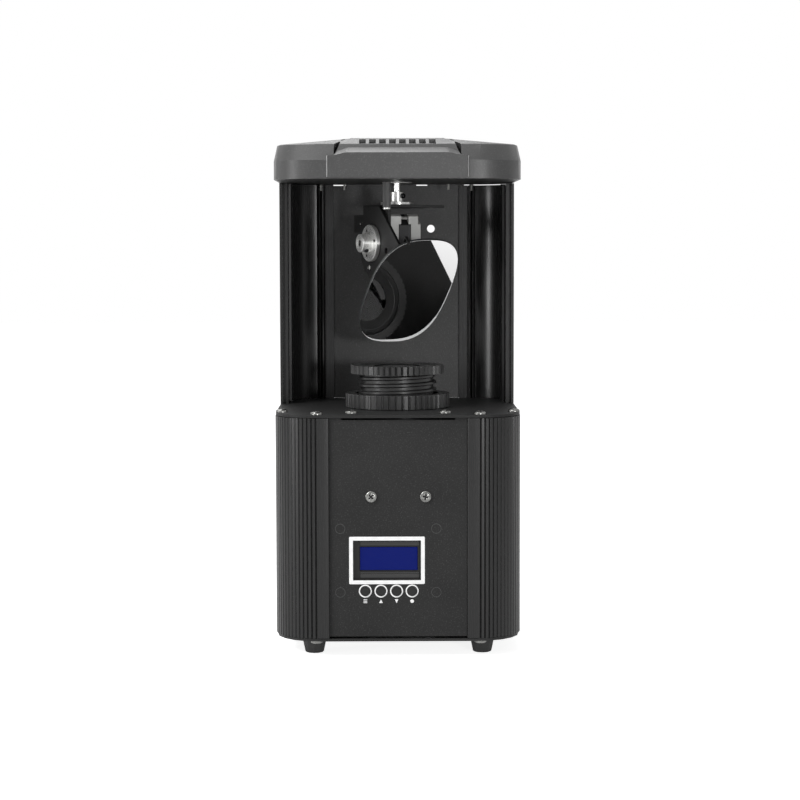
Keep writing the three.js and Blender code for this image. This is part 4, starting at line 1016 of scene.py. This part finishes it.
@dataclass
class ScrewSet:
    """Screws of one kind on one body, repeated by Geometry Nodes over points that say how each one faces."""

    name: str
    kind: ScrewKind | TipKind
    body: str
    places: list[tuple[Point, Vector]]

    @staticmethod
    def tree() -> Tree:
        """Builds the screw tree once: heads on points, turned to their facing and spun at random.

        Returns:
            The tree, with the inputs Head, Size, Seed and Material.
        """
        made = bpy.data.node_groups.get("screw_heads")
        if made:
            return made
        tree = bpy.data.node_groups.new("screw_heads", "GeometryNodeTree")
        face = tree.interface
        face.new_socket("Geometry", in_out="INPUT", socket_type="NodeSocketGeometry")
        face.new_socket("Head", in_out="INPUT", socket_type="NodeSocketObject")
        face.new_socket("Size", in_out="INPUT", socket_type="NodeSocketFloat").default_value = 1.0
        face.new_socket("Seed", in_out="INPUT", socket_type="NodeSocketInt").default_value = SPIN_SEED
        face.new_socket("Material", in_out="INPUT", socket_type="NodeSocketMaterial")
        face.new_socket("Geometry", in_out="OUTPUT", socket_type="NodeSocketGeometry")
        given = add(tree, "NodeGroupInput")
        head = add(tree, "GeometryNodeObjectInfo", {"Object": given.outputs["Head"], "As Instance": True})
        facing = add(tree, "GeometryNodeInputNamedAttribute", {"Name": "facing"}, data_type="FLOAT_VECTOR")
        turn = add(tree, "FunctionNodeAlignRotationToVector", {"Vector": facing}, axis="Z")
        spin = add(tree, "FunctionNodeRandomValue", {"Seed": given.outputs["Seed"], 2: 0.0, 3: math.pi},
                   data_type="FLOAT")
        euler = add(tree, "CombineXYZ", {"Z": spin.outputs[1]})
        own = add(tree, "FunctionNodeEulerToRotation", {0: euler})
        turned = {"Rotation": turn, "Rotate By": own}
        both = add(tree, "FunctionNodeRotateRotation", turned, rotation_space="LOCAL")
        placed = add(tree, "GeometryNodeInstanceOnPoints", {
            "Points": given.outputs["Geometry"], "Instance": head.outputs["Geometry"],
            "Rotation": both, "Scale": given.outputs["Size"],
        })
        solid = add(tree, "GeometryNodeRealizeInstances", {0: placed})
        finish = {"Geometry": solid, "Material": given.outputs["Material"]}
        add(tree, "NodeGroupOutput", {0: add(tree, "GeometryNodeSetMaterial", finish)})
        return tree

    def build(self) -> bpy.types.Object:
        """Makes the set one plain mesh on its body.

        Returns:
            The screws.
        """
        points = bpy.data.meshes.new(f"{self.name}_points")
        points.from_pydata([Vector(p) * MM for p, _ in self.places], [], [])
        facing = points.attributes.new("facing", "FLOAT_VECTOR", "POINT")
        facing.data.foreach_set("vector", [c for _, way in self.places for c in way])
        carrier = linked(f"{self.name}_carrier", points)
        head = self.kind.head()
        repeat = carrier.modifiers.new("screws", "NODES")
        repeat.node_group = self.tree()
        values = {"Head": head, "Size": 1.0, "Seed": SPIN_SEED, "Material": self.kind.finish.material()}
        for item in repeat.node_group.interface.items_tree:
            if item.in_out == "INPUT" and item.name in values:
                repeat[item.identifier] = values[item.name]
        evaluated = carrier.evaluated_get(bpy.context.evaluated_depsgraph_get())
        mesh = bpy.data.meshes.new_from_object(evaluated)
        carrier.modifiers.remove(repeat)
        bpy.data.objects.remove(carrier)
        bpy.data.objects.remove(head)
        return show(finished_object(self.name, mesh, self.kind.finish), self.body, self.kind.finish)


@dataclass
class Tower:
    """The fluted extrusions, and the panels, deck, top plate and cap that they carry, in millimetres."""

    dress: CadDress
    body: str = "chassis"
    panel_face: float = -82.7
    rear_face: float = 82.7
    plate_bottom: float = 11.7
    tower_top: float = 336.9
    deck_screws: tuple[Point, ...] = ((83.0, -53.0, 172.0), (57.5, -75.5, 172.0), (33.3, -65.0, 172.0))
    panel_screw: Point = (19.2, -82.7, 114.4)
    base_screws: tuple[Pair, ...] = ((58.0, 79.4), (81.9, 53.0))
    foot_screw: Point = (60.0, 60.0, 5.0)
    rear_screw_x: float = 46.0
    rear_screw_z: tuple[float, ...] = (26.0, 96.0, 164.0, 190.0, 256.0, 322.0)
    fan_screw: Pair = (25.0, 25.0)
    fan_centre_z: float = 45.0
    channel_end: Pair = (58.0, 79.4)
    roof_end: Pair = (39.7, 60.0)
    vent_half: float = 28.0
    ridge_bar: tuple[Pair, ...] = (
        (62.0, 365.07), (60.0, 365.95), (58.5, 365.95), (58.5, 364.0), (62.0, 363.0))
    baffle: tuple[Pair, ...] = (
        (76.0, 353.4), (60.5, 360.6), (12.0, 361.6), (12.0, 362.6), (60.0, 362.4), (76.0, 354.9))
    baffle_overlap: float = 3.0
    bead: Pair = (49.05, 84.25)
    bead_radius: float = 0.5
    bead_span: Pair = (338.1, 352.8)
    mark_x: Pair = (-41.0, 26.7)
    mark_z: Pair = (91.7, 46.5)
    mark_radius: float = 3.6
    mark_stroke: float = 0.45
    mark_proud: Pair = (-0.05, 0.04)

    def dress_sheets(self) -> None:
        """Softens the edges of the panels, plates and extrusions."""
        soften = self.dress.soften
        soften(ANODISED, 0.18, "front_left_extrusion", "front_right_extrusion")
        soften(ANODISED, 0.08, "rear_left_extrusion", "rear_right_extrusion")
        soften(POWDER, 0.35, "front_panel", "left_side_panel", "right_side_panel", "rear_panel")
        soften(DECK_COAT, 0.35, "deck_plate")
        soften(CHAMBER, 0.08, "tower_back_panel")
        soften(BLACK_SHEET, 0.3, "bottom_plate")
        soften(BLACK_SHEET, 0.08, "tower_top_plate")
        soften(CAP_PLASTIC, 0.5, "cap", angle_deg=26.0)
        soften(RUBBER, 0.4, "front_left_foot", "front_right_foot", "rear_left_foot", "rear_right_foot")

    def screws(self, name: str, kind: ScrewKind | TipKind, facing: Facing, points: Sequence[Point]) -> None:
        """Drives one set of screws that all look the same way."""
        ScrewSet(name, kind, self.body, [(point, facing.way) for point in points]).build()

    def shown_screws(self) -> None:
        """Drives the pan heads of the deck and the front panel, with painted shade in their recesses."""
        head = ScrewKind("pan_head", ZINC_SCREW)
        # painted shade: dark blocks in the recesses stand for the shadow there
        floor = RecessShadeKind("pan_recess", FLAT_BLACK)
        x, y, z = self.panel_screw
        on_panel = [(side * x, y, z) for side in SIDES]
        on_deck = [(side * x, y, z) for side in SIDES for x, y, z in self.deck_screws]
        self.screws("deck_screws", head, Facing.UP, on_deck)
        self.screws("deck_screw_recesses", floor, Facing.UP, on_deck)
        self.screws("front_panel_screws", head, Facing.FRONT, on_panel)
        self.screws("front_panel_screw_recesses", floor, Facing.FRONT, on_panel)

    def hidden_screws(self) -> None:
        """Drives the screws under the base, in the feet and on the rear, and the ends that show inside."""
        base = [(sx * x, sy * y, self.plate_bottom) for sx, sy in CORNERS for x, y in self.base_screws]
        self.screws("base_screws", ScrewKind("pan_head", ZINC_SCREW), Facing.DOWN, base)
        x, y, z = self.foot_screw
        feet = [(sx * x, sy * y, z) for sx, sy in CORNERS]
        foot_head = ScrewKind("foot_head", ZINC_SCREW, 3.2, 2.0, 1.7, 0.8, 1.1)
        self.screws("foot_screws", foot_head, Facing.DOWN, feet)
        rear = [(side * self.rear_screw_x, self.rear_face, z) for side in SIDES for z in self.rear_screw_z]
        x, z = self.fan_screw
        rear += [(sx * x, self.rear_face, self.fan_centre_z + sz * z) for sx, sz in CORNERS]
        dark_head = ScrewKind("dark_pan_head", BLACK_SCREW, 3.0, 1.9, 1.6, 0.7, 1.0)
        self.screws("rear_screws", dark_head, Facing.REAR, rear)
        # painted highlight: the ends are coloured pale to stand for light on them in the tower's shade
        ends = {"channel": (self.channel_end, TipKind("channel", LIT_SCREW_END, 1.7, 5.6)),
                "roof": (self.roof_end, TipKind("roof", LIT_SCREW_END, 0.9, 4.8, 0.5, 0.2))}
        for name, ((x, y), kind) in ends.items():
            points = [(side * x, y, self.tower_top) for side in SIDES]
            self.screws(f"{name}_screw_ends", kind, Facing.DOWN, points)

    def vent_baffle(self) -> None:
        """Fits the moulded bar across the vents at each ridge, and the dark baffle below them."""
        for name, outline, half, finish in (
                ("vent_bars", self.ridge_bar, self.vent_half, CAP_PLASTIC),
                ("vent_baffle", self.baffle, self.vent_half + self.baffle_overlap, FLAT_BLACK)):
            strips = (plate([(side * y, z) for y, z in outline], -half, half, sideways) for side in SIDES)
            fit(joined(*strips), name, self.body, finish)

    def fascia_beads(self) -> None:
        """Runs a thin bead down each upright edge of the front and rear fascias, painted pale as the edges'
        highlight.
        """
        x, y = self.bead
        beads = (plate(circle(self.bead_radius, 12, sx * x, sy * y), *self.bead_span, upright)
                 for sx, sy in CORNERS)
        fit(joined(*beads), "fascia_beads", self.body, BEAD_HIGHLIGHT, angle_deg=50.0)

    def weld_marks(self) -> None:
        """Raises the four faint rings that the welded studs leave on the front panel, painted paler as their
        highlight.
        """
        rings = (ring(self.mark_radius, self.mark_stroke, 36, x, z, *self.mark_proud, self.panel_face)
                 for x in self.mark_x for z in self.mark_z)
        fit(joined(*rings), "weld_marks", self.body, MARK_HIGHLIGHT)

    def build(self) -> None:
        """Dresses the solids, then adds the screws and the trim."""
        self.dress_sheets()
        self.shown_screws()
        self.hidden_screws()
        self.vent_baffle()
        self.fascia_beads()
        self.weld_marks()


@dataclass
class ControlPanel:
    """The display window, the four buttons and the white print round them, in millimetres.

    A bezel strip has its height, half its thickness, its corner, the corner's steps and how proud it is.
    """

    dress: CadDress
    body: str = "chassis"
    face: float = -82.7
    module_face: float = -79.6
    ink: float = 0.06
    window: Pair = (-8.1, 69.2)
    frame_size: Pair = (53.3, 33.7)
    frame_stroke: float = 2.7
    frame_corners: Pair = (0.8, 0.3)
    button_first: float = -23.4
    button_pitch: float = 11.0
    button_z: float = 47.4
    ring_outer: float = 4.6
    ring_stroke: float = 0.9
    sign_z: float = 40.2
    sign_height: float = 2.6
    bezel: Pair = (-6.1, 20.7)
    bezel_strips: tuple[tuple, ...] = (
        (80.9, 1.4, 0.4, 3, 0.5), (58.0, 1.4, 0.4, 3, 0.5), (60.1, 0.35, 0.2, 2, 0.9))
    steps: int = 40

    @property
    def button_x(self) -> list[float]:
        """The middles of the four buttons."""
        return [self.button_first + i * self.button_pitch for i in range(4)]

    def print_window(self) -> Form:
        """Draws the white frame round the window.

        Returns:
            The frame in metres.
        """
        half_u, half_v = (side / 2 for side in self.frame_size)
        outer, inner = (rounded_box(half_u - cut, half_v - cut, corner, 4, *self.window)
                        for cut, corner in zip((0.0, self.frame_stroke), self.frame_corners))
        return band(outer, inner, 0.0, self.ink, on_front(self.face))

    def print_rings(self) -> Form:
        """Draws a white ring round each button."""
        return joined(*(ring(self.ring_outer, self.ring_stroke, self.steps, x, self.button_z,
                             0.0, self.ink, self.face) for x in self.button_x))

    def print_signs(self) -> Form:
        """Draws the plain signs under the buttons: three bars, an up and a down arrow, a dot.

        Returns:
            The signs in metres.
        """
        half, bar = self.sign_height / 2, self.sign_height / 5
        first, second, third, fourth = self.button_x
        low, high = self.sign_z - half, self.sign_z + half
        signs = [[(first - half, z), (first + half, z), (first + half, z + bar), (first - half, z + bar)]
                 for z in (low, self.sign_z - bar / 2, high - bar)]
        signs.append([(second - half, low), (second + half, low), (second, high)])
        signs.append([(third - half, high), (third, low), (third + half, high)])
        signs.append(circle(half, self.steps // 2, fourth, self.sign_z))
        return joined(*(plate(sign, 0.0, self.ink, on_front(self.face)) for sign in signs))

    def bezel_bars(self) -> Form:
        """Shapes the bars of the display's frame above and below the glass, and the lip that holds it.

        Returns:
            The bars in metres.
        """
        x, half = self.bezel
        face = on_front(self.module_face)
        return joined(*(plate(rounded_box(half, tall, corner, steps, x, z), 0.0, proud, face)
                        for z, tall, corner, steps, proud in self.bezel_strips))

    def build(self) -> None:
        """Adds the bezel bars and the print, then dresses the solids."""
        fit(self.bezel_bars(), "bezel_bars", self.body, BEZEL)
        fit(self.print_window(), "window_print", self.body, WHITE_INK)
        fit(self.print_rings(), "button_ring_print", self.body, WHITE_INK)
        fit(self.print_signs(), "button_sign_print", self.body, WHITE_INK)
        self.dress.soften(BLACK_PLASTIC, 0.3, "display_module",
                          "first_button", "second_button", "third_button", "fourth_button")
        self.dress.keep(SCREEN, "display_screen")
        self.dress.keep(CIRCUIT_BOARD, "display_board", "control_board", "power_supply")


@dataclass
class Lens:
    """The focus lens: the collar on the deck, the threaded barrel with its grip ring, and the glass."""

    dress: CadDress
    axis_y: float = -8.0
    steps: int = 96
    retaining_ring: tuple[Pair, ...] = (
        (27.6, 201.4), (27.6, 202.75), (27.2, 202.95), (24.2, 202.95), (23.8, 202.6),
        (17.2, 202.5), (17.2, 202.2), (22.0, 202.05), (25.5, 201.4), (27.6, 201.4))
    rear_stop: tuple[Pair, ...] = (
        (23.3, 186.0), (23.3, 189.5), (22.6, 189.5), (6.0, 187.6), (6.0, 187.0), (22.6, 186.0), (23.3, 186.0))

    def build(self) -> None:
        """Dresses the solids, then turns the ring and the stop about the lens axis, at their own heights."""
        self.dress.soften(LENS_PLASTIC, 0.25, "lens_collar", "focus_barrel", angle_deg=40.0)
        self.dress.soften(LENS_GLASS, 0.0, "front_lens")
        rings = {"lens_retaining_ring": self.retaining_ring, "lens_rear_stop": self.rear_stop}
        for name, profile in rings.items():
            form = lathe(profile, self.steps, (0.0, self.axis_y, 0.0), Facing.UP.way)
            fit(form, name, "focus_ring", FLAT_BLACK)


@dataclass
class MirrorHead:
    """The pan drive, the yoke with the tilt motor, and the bracket with the mirror, in millimetres.

    The facet's angles round the mirror are its start, the end of its wide part and its end. It fades over
    the last facet_fade radians.
    """

    dress: CadDress
    joints: dict[str, dict]
    facet_deg: Point = (-140.0, -30.0, 17.0)
    facet_wide: float = 1.6
    facet_slim: float = 0.5
    facet_least: float = 0.02
    facet_slope: float = 0.7
    facet_lift: float = 0.01
    facet_fade: float = 0.2
    rim_depth: float = 0.3
    pan_hub: tuple[Pair, ...] = (
        (2.8, 20.3), (12.0, 20.3), (12.0, 22.4), (5.0, 22.4), (5.0, 29.7), (2.8, 29.7), (2.8, 20.3))
    tilt_hub: tuple[Pair, ...] = (
        (2.8, -30.6), (6.7, -30.6), (6.7, -23.2), (13.5, -23.2), (13.5, -20.2), (2.8, -20.2), (2.8, -30.6))
    set_screw_reach: float = 5.0
    pan_set_screw_deg: float = -40.0
    pan_set_screw_z: float = 326.9
    tilt_set_screw_deg: float = -55.0
    tilt_set_screw_along: float = -26.9
    plugs_deg: Point = (110.0, 10.0, -110.0)
    plugs_along: float = -23.15
    plugs_reach: float = 9.8
    bracket_screw: Point = (-20.0143, 10.698, 274.0933)
    sensor_screws: tuple[Point, ...] = ((-23.8, 31.9, 309.9), (-26.8, 31.9, 306.5))
    post_screw: Point = (-7.5, -15.0, 317.4)

    def pivot(self, joint: str) -> Point:
        """Gives the point that a joint turns about, in millimetres."""
        return tuple(c / MM for c in self.joints[joint]["pos_m"])

    @property
    def tilt_axis(self) -> Point:
        """The direction of the tilt shaft."""
        return tuple(self.joints["tilt"]["axis"])

    def mirror_normal(self) -> Point:
        """Finds which way the silvered face of the mirror looks.

        Returns:
            Of the two ways that most of the mirror's surface looks, the one that points down to the lens.
        """
        total: dict[Point, float] = {}
        for face in self.dress.nodes["mirror"].data.polygons:
            key = tuple(round(c, 3) for c in face.normal)
            total[key] = total.get(key, 0.0) + face.area
        best = sorted(total, key=total.get, reverse=True)[:2]
        return min(best, key=lambda way: way[2])

    def edge_facet(self) -> None:
        """Lays a white facet along the mirror's lower edge, widest below and slim up the right side, as a
        painted highlight.
        """
        vertices = self.dress.nodes["mirror"].data.vertices
        normal = Vector(self.mirror_normal())
        top = max(v.co.dot(normal) for v in vertices)
        rim = [v.co.copy() for v in vertices if top - v.co.dot(normal) < self.rim_depth * MM]
        middle = sum(rim, Vector()) / len(rim)
        start, wide_end, end = (math.radians(a) for a in self.facet_deg)
        angles = {round(math.atan2(p.z - middle.z, p.x - middle.x), 4): p for p in rim}
        form = bmesh.new()
        rings = []
        for angle in sorted(a for a in angles if start <= a <= end):
            point = angles[angle]
            share = min(1.0, (angle - start) / (wide_end - start))
            slim = self.facet_slim * min(1.0, (end - angle) / self.facet_fade)
            wide = self.facet_wide * math.sin(math.pi * share) ** 0.8
            width = MM * max(wide, slim if share > 0.5 else self.facet_least)
            outer = point + normal * self.facet_lift * MM
            inner = outer + (middle - point).normalized() * width
            raised = outer + normal * width * self.facet_slope
            rings.append([form.verts.new(p) for p in (outer, raised, inner)])
        for low, high in zip(rings, rings[1:]):
            for k in range(3):
                form.faces.new((low[k], low[(k + 1) % 3], high[(k + 1) % 3], high[k]))
        form.faces.new(rings[0])
        form.faces.new(list(reversed(rings[-1])))
        fit(form, "mirror_edge_facet", "mirror_head", MIRROR_EDGE_HIGHLIGHT, angle_deg=20.0)

    def turned_hub(self, joint: str, profile: Outline) -> None:
        """Turns a joint's hub on its own axis, with a lathe's finish, in place of the CAD node.

        Args:
            joint: the joint, which names the hub.
            profile: radius and height pairs, counted from the pivot.
        """
        axis = tuple(self.joints[joint]["axis"])
        finish = TurnedFinish(
            f"turned_aluminium_{joint}", "turned_aluminium", "f0f0ee", "e2e2e0", 0.3, 0.06, 0.72,
            grain_mm=0.7, grain_depth_mm=0.008, axis_point_mm=self.pivot(joint), axis=axis)
        name = f"{joint}_hub_turned"
        form = lathe(profile, 96, self.pivot(joint), Vector(axis))
        hub = finished_object(name, to_mesh(form, name), finish)
        break_edges(hub, 0.25, angle_deg=50.0)
        show(hub, self.dress.body_of(f"{joint}_hub"), finish, f"{joint}_hub")

    def round_tilt(self, turn_deg: float, along: float, reach: float) -> tuple[Point, Vector]:
        """Finds a point beside the tilt shaft.

        Args:
            turn_deg: how far round the shaft it lies, up from the level line.
            along: how far along the shaft from the pivot.
            reach: how far out from the shaft.

        Returns:
            The point, and the way out of the shaft there.
        """
        axis, turn = Vector(self.tilt_axis), math.radians(turn_deg)
        side = Vector((axis.y, -axis.x, 0.0)) * math.cos(turn) + Facing.UP.way * math.sin(turn)
        return tuple(Vector(self.pivot("tilt")) + axis * along + side * reach), side

    def small_screws(self) -> None:
        """Drives the set screws and plugs of the hubs, and the screws of bracket, sensor and stop post."""
        out = -Vector(self.tilt_axis)
        turn = math.radians(self.pan_set_screw_deg)
        way = Vector((math.cos(turn), math.sin(turn), 0.0))
        x, y, _ = self.pivot("pan")
        neck = tuple(Vector((x, y, self.pan_set_screw_z)) + way * self.set_screw_reach)
        socket = ScrewKind("socket", BLACK_SCREW, 1.9, 3.0, 1.0, recess_depth=1.4, hexagon=True)
        plug = ScrewKind("plug", BLACK_SCREW, 1.1, 0.45, 0.6, recess_depth=0.3, hexagon=True, steps=16)
        tilt_set = self.round_tilt(self.tilt_set_screw_deg, self.tilt_set_screw_along, self.set_screw_reach)
        plugs = [(self.round_tilt(turn, self.plugs_along, self.plugs_reach)[0], out)
                 for turn in self.plugs_deg]
        bracket = ScrewKind("bracket_pan", ZINC_SCREW, 2.3, 1.5, 1.2, 0.5, 0.9)
        sensor = ScrewKind("sensor_pan", ZINC_SCREW, 0.9, 0.8, 0.5, 0.25, 0.4)
        post = ScrewKind("post_pan", GROUND_STEEL, 2.9, 1.3, 1.4, 0.7, 0.8)
        on_sensor = [(point, Facing.FRONT.way) for point in self.sensor_screws]
        for name, kind, body, places in (
                ("pan_hub_set_screw", socket, "yoke", [(neck, way)]),
                ("bracket_screw", bracket, "mirror_head", [(self.bracket_screw, out)]),
                ("sensor_screws", sensor, "yoke", on_sensor),
                ("tilt_hub_set_screw", socket, "mirror_head", [tilt_set]),
                ("tilt_hub_screws", plug, "mirror_head", plugs),
                ("stop_post_screw", post, "chassis", [(self.post_screw, Facing.DOWN.way)])):
            ScrewSet(name, kind, body, places).build()

    def build(self) -> None:
        """Turns the hubs, dresses the solids, and adds the painted highlight on the mirror's edge and the
        screws.
        """
        stack = StackFinish("motor_laminations", "lamination", "222224", "2b2b2d", 0.42, 0.05, 0.3,
                            grain_depth_mm=0.06, axis=self.tilt_axis)
        mirror = MirrorFinish("front_surface_mirror", "mirror_face", "eeeeee", "eeeeee", 0.015, 0.02, 1.0,
                              grain_mm=4.0, normal=self.mirror_normal())
        self.turned_hub("pan", self.pan_hub)
        self.turned_hub("tilt", self.tilt_hub)
        soften = self.dress.soften
        soften(GROUND_STEEL, 0.1, "pan_shaft", "tilt_shaft")
        soften(BLACK_SHEET, 0.2, "yoke_bracket", "mirror_bracket", "mirror_clip")
        soften(DIE_CAST, 0.3, "tilt_motor_front_bell", "tilt_motor_rear_bell", "pan_motor")
        soften(stack, 0.1, "tilt_motor_stator")
        soften(BLACK_PLASTIC, 0.25, "tilt_sensor")
        soften(POST_PLASTIC, 0.25, "pan_stop_post")
        soften(mirror, 0.15, "mirror")
        self.edge_facet()
        self.small_screws()


@dataclass
class Inside:
    """The light engine, wheels, fan, boards and sockets, in millimetres."""

    dress: CadDress
    inlet_centre: Pair = (-22.0, 118.0)
    inlet_span: Pair = (59.5, 77.0)
    blade: Pair = (2.0, 4.0)
    blade_places: tuple[Pair, ...] = ((-7.0, -2.0), (0.0, 2.0), (7.0, -2.0))
    input_centre: Pair = (-24.0, 150.0)
    input_span: Pair = (63.5, 78.0)
    pin_circle: float = 4.7
    pin_radius: float = 1.2

    def blades(self) -> Form:
        """Stands the three flat blades in the mains inlet.

        Returns:
            The blades in metres.
        """
        x, z = self.inlet_centre
        width, height = self.blade
        blades = []
        for side, up in self.blade_places:
            left, low = x + side - width / 2, z + up - height / 2
            outline = [(left, low), (left + width, low), (left + width, low + height), (left, low + height)]
            blades.append(plate(outline, *self.inlet_span, rearwards))
        return joined(*blades)

    def pins(self) -> Form:
        """Stands the three round pins in the input socket, left, below and right.

        Returns:
            The pins in metres.
        """
        x, z = self.input_centre
        places = circle(self.pin_circle, 4, x, z)
        return joined(*(plate(circle(self.pin_radius, 16, *places[i]), *self.input_span, rearwards)
                        for i in (2, 3, 0)))

    def build(self) -> None:
        """Adds the contacts and dresses the solids."""
        fit(self.blades(), "inlet_blades", "chassis", GROUND_STEEL)
        fit(self.pins(), "input_pins", "chassis", GROUND_STEEL)
        self.dress.soften(BLACK_PLASTIC, 0.25, "power_inlet", "data_input", "data_output", "fuse_holder",
                          "fan_frame", "fan_rotor", "condenser_holder")
        self.dress.keep(DIE_CAST, "heat_sink", "color_wheel_motor", "gobo_wheel_motor")
        self.dress.keep(LED_PACKAGE, "led_engine")
        self.dress.keep(CLEAR_GLASS, "condenser_lens")
        self.dress.keep(COLOUR_GLASS, "color_wheel")
        self.dress.keep(GROUND_STEEL, "gobo_wheel")
        self.dress.keep(BLACK_SHEET, "optical_frame")


@dataclass(frozen=True)
class Lamp:
    """A soft square lamp: where it hangs and what it faces, and its side, all in metres, with its watts."""

    name: str
    place: Point
    aim: Point
    side: float
    watts: float

    def hang(self) -> None:
        """Hangs the lamp and turns it to what it faces."""
        data = bpy.data.lights.new(self.name, "AREA")
        data.size = self.side
        data.energy = self.watts
        lamp = linked(self.name, data)
        lamp.location = self.place
        lamp.rotation_euler = (Vector(self.aim) - Vector(self.place)).to_track_quat("-Z", "Y").to_euler()


@dataclass
class Studio:
    """The pale floor, the soft light and the camera at the photograph's angle.

    A level camera at the same point would have its axis at axis_px in the photograph, focal_px away. The
    camera is turned from there to the middle of the picture, with trim_px off the turn downwards.
    """

    camera_mm: Point = (-9.8, -1555.0, 294.0)
    roll_deg: float = 0.12
    lens_mm: float = 94.85
    sensor_mm: float = 36.0
    picture_px: int = 800
    focal_px: float = 2100.0
    axis_px: Pair = (383.8, 240.0)
    trim_px: float = 1.0
    floor_half: float = 6.0
    floor_glow: float = 0.85
    floor_in_gloss: float = 0.6
    world_light: Pair = (0.2, 1.0)
    lamps: tuple[Lamp, ...] = (
        Lamp("key_lamp", (-1.5, -1.3, 1.7), (0, 0, 0.2), 0.8, 32),
        Lamp("top_lamp", (-0.6, -0.3, 2.1), (0, 0, 0.2), 1.4, 10),
        Lamp("back_lamp", (-0.35, 1.5, 1.9), (0, 0, 0.3), 1.2, 13),
        Lamp("left_strip", (-1.6, -0.72, 0.25), (0.07, 0.07, 0.25), 0.3, 5),
        Lamp("right_strip", (0.6, -1.68, 0.28), (-0.065, 0.08, 0.28), 0.18, 7),
    )

    def camera(self) -> None:
        """Places the camera and turns it down to the middle of the photograph's frame, with no shift."""
        data = bpy.data.cameras.new("view")
        data.lens = self.lens_mm
        data.sensor_width = self.sensor_mm
        middle = self.picture_px / 2
        pan = math.atan((middle - self.axis_px[0]) / self.focal_px)
        pitch = math.atan((middle - self.axis_px[1] - self.trim_px) / self.focal_px)
        camera = linked("view", data)
        camera.location = Vector(self.camera_mm) * MM
        camera.rotation_euler = (math.radians(90) - pitch, math.radians(self.roll_deg), -pan)
        bpy.context.scene.camera = camera

    def floor(self) -> None:
        """Lays the floor, which shows near white to the camera and keeps the object's shadow."""
        material = bpy.data.materials.new("studio_floor")
        material.use_nodes = True
        tree = material.node_tree
        tree.nodes.clear()
        rays = add(tree, "LightPath").outputs
        gloss = add(tree, "Math", {0: rays["Is Glossy Ray"], 1: self.floor_in_gloss}, operation="MULTIPLY")
        seen = add(tree, "Math", {0: rays["Is Camera Ray"], 1: gloss}, operation="MAXIMUM")
        both = add(tree, "Math", {0: seen, 1: rays["Is Transmission Ray"]}, operation="MAXIMUM")
        cloth = add(tree, "BsdfDiffuse", {"Color": linear("f4f4f4")})
        glow = add(tree, "Emission", {"Color": linear("ffffff"), "Strength": self.floor_glow})
        none = add(tree, "Emission", {"Color": linear("000000"), "Strength": 0.0})
        shown = add(tree, "MixShader", {0: both, 1: none, 2: glow})
        surface = add(tree, "AddShader", {0: cloth, 1: shown})
        add(tree, "OutputMaterial", {"Surface": surface})
        half = self.floor_half
        mesh = bpy.data.meshes.new("studio_floor")
        corners = [(-half, -half, 0), (half, -half, 0), (half, half, 0), (-half, half, 0)]
        mesh.from_pydata(corners, [], [(0, 1, 2, 3)])
        mesh.materials.append(material)
        floor = linked("studio_floor", mesh)

    def world(self) -> None:
        """Surrounds the object with soft light that is white where the camera, a gloss or a glass sees it."""
        world = bpy.data.worlds.new("studio")
        bpy.context.scene.world = world
        world.use_nodes = True
        tree = world.node_tree
        tree.nodes.clear()
        rays = add(tree, "LightPath").outputs
        seen = add(tree, "Math", {0: rays["Is Camera Ray"], 1: rays["Is Transmission Ray"]},
                   operation="MAXIMUM")
        both = add(tree, "Math", {0: seen, 1: rays["Is Glossy Ray"]}, operation="MAXIMUM")
        light, shown = self.world_light
        strength = add(tree, "MapRange", {0: both, 3: light, 4: shown})
        sky = add(tree, "Background", {"Color": linear("ffffff"), "Strength": strength})
        add(tree, "OutputWorld", {"Surface": sky})

    def build(self) -> None:
        """Builds the studio."""
        bpy.context.scene.view_settings.view_transform = "Standard"
        self.camera()
        self.floor()
        self.world()
        for lamp in self.lamps:
            lamp.hang()


def main() -> None:
    """Builds the looks round the frame, sub-assembly by sub-assembly."""
    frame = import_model()
    Studio().build()
    dress = CadDress(frame["nodes"])
    joints = {joint["name"]: joint for joint in frame["joints"]}
    for part in (Tower(dress), ControlPanel(dress), Lens(dress), MirrorHead(dress, joints), Inside(dress)):
        log.info("building %s", type(part).__name__)
        part.build()


if __name__ == "__main__":
    main()
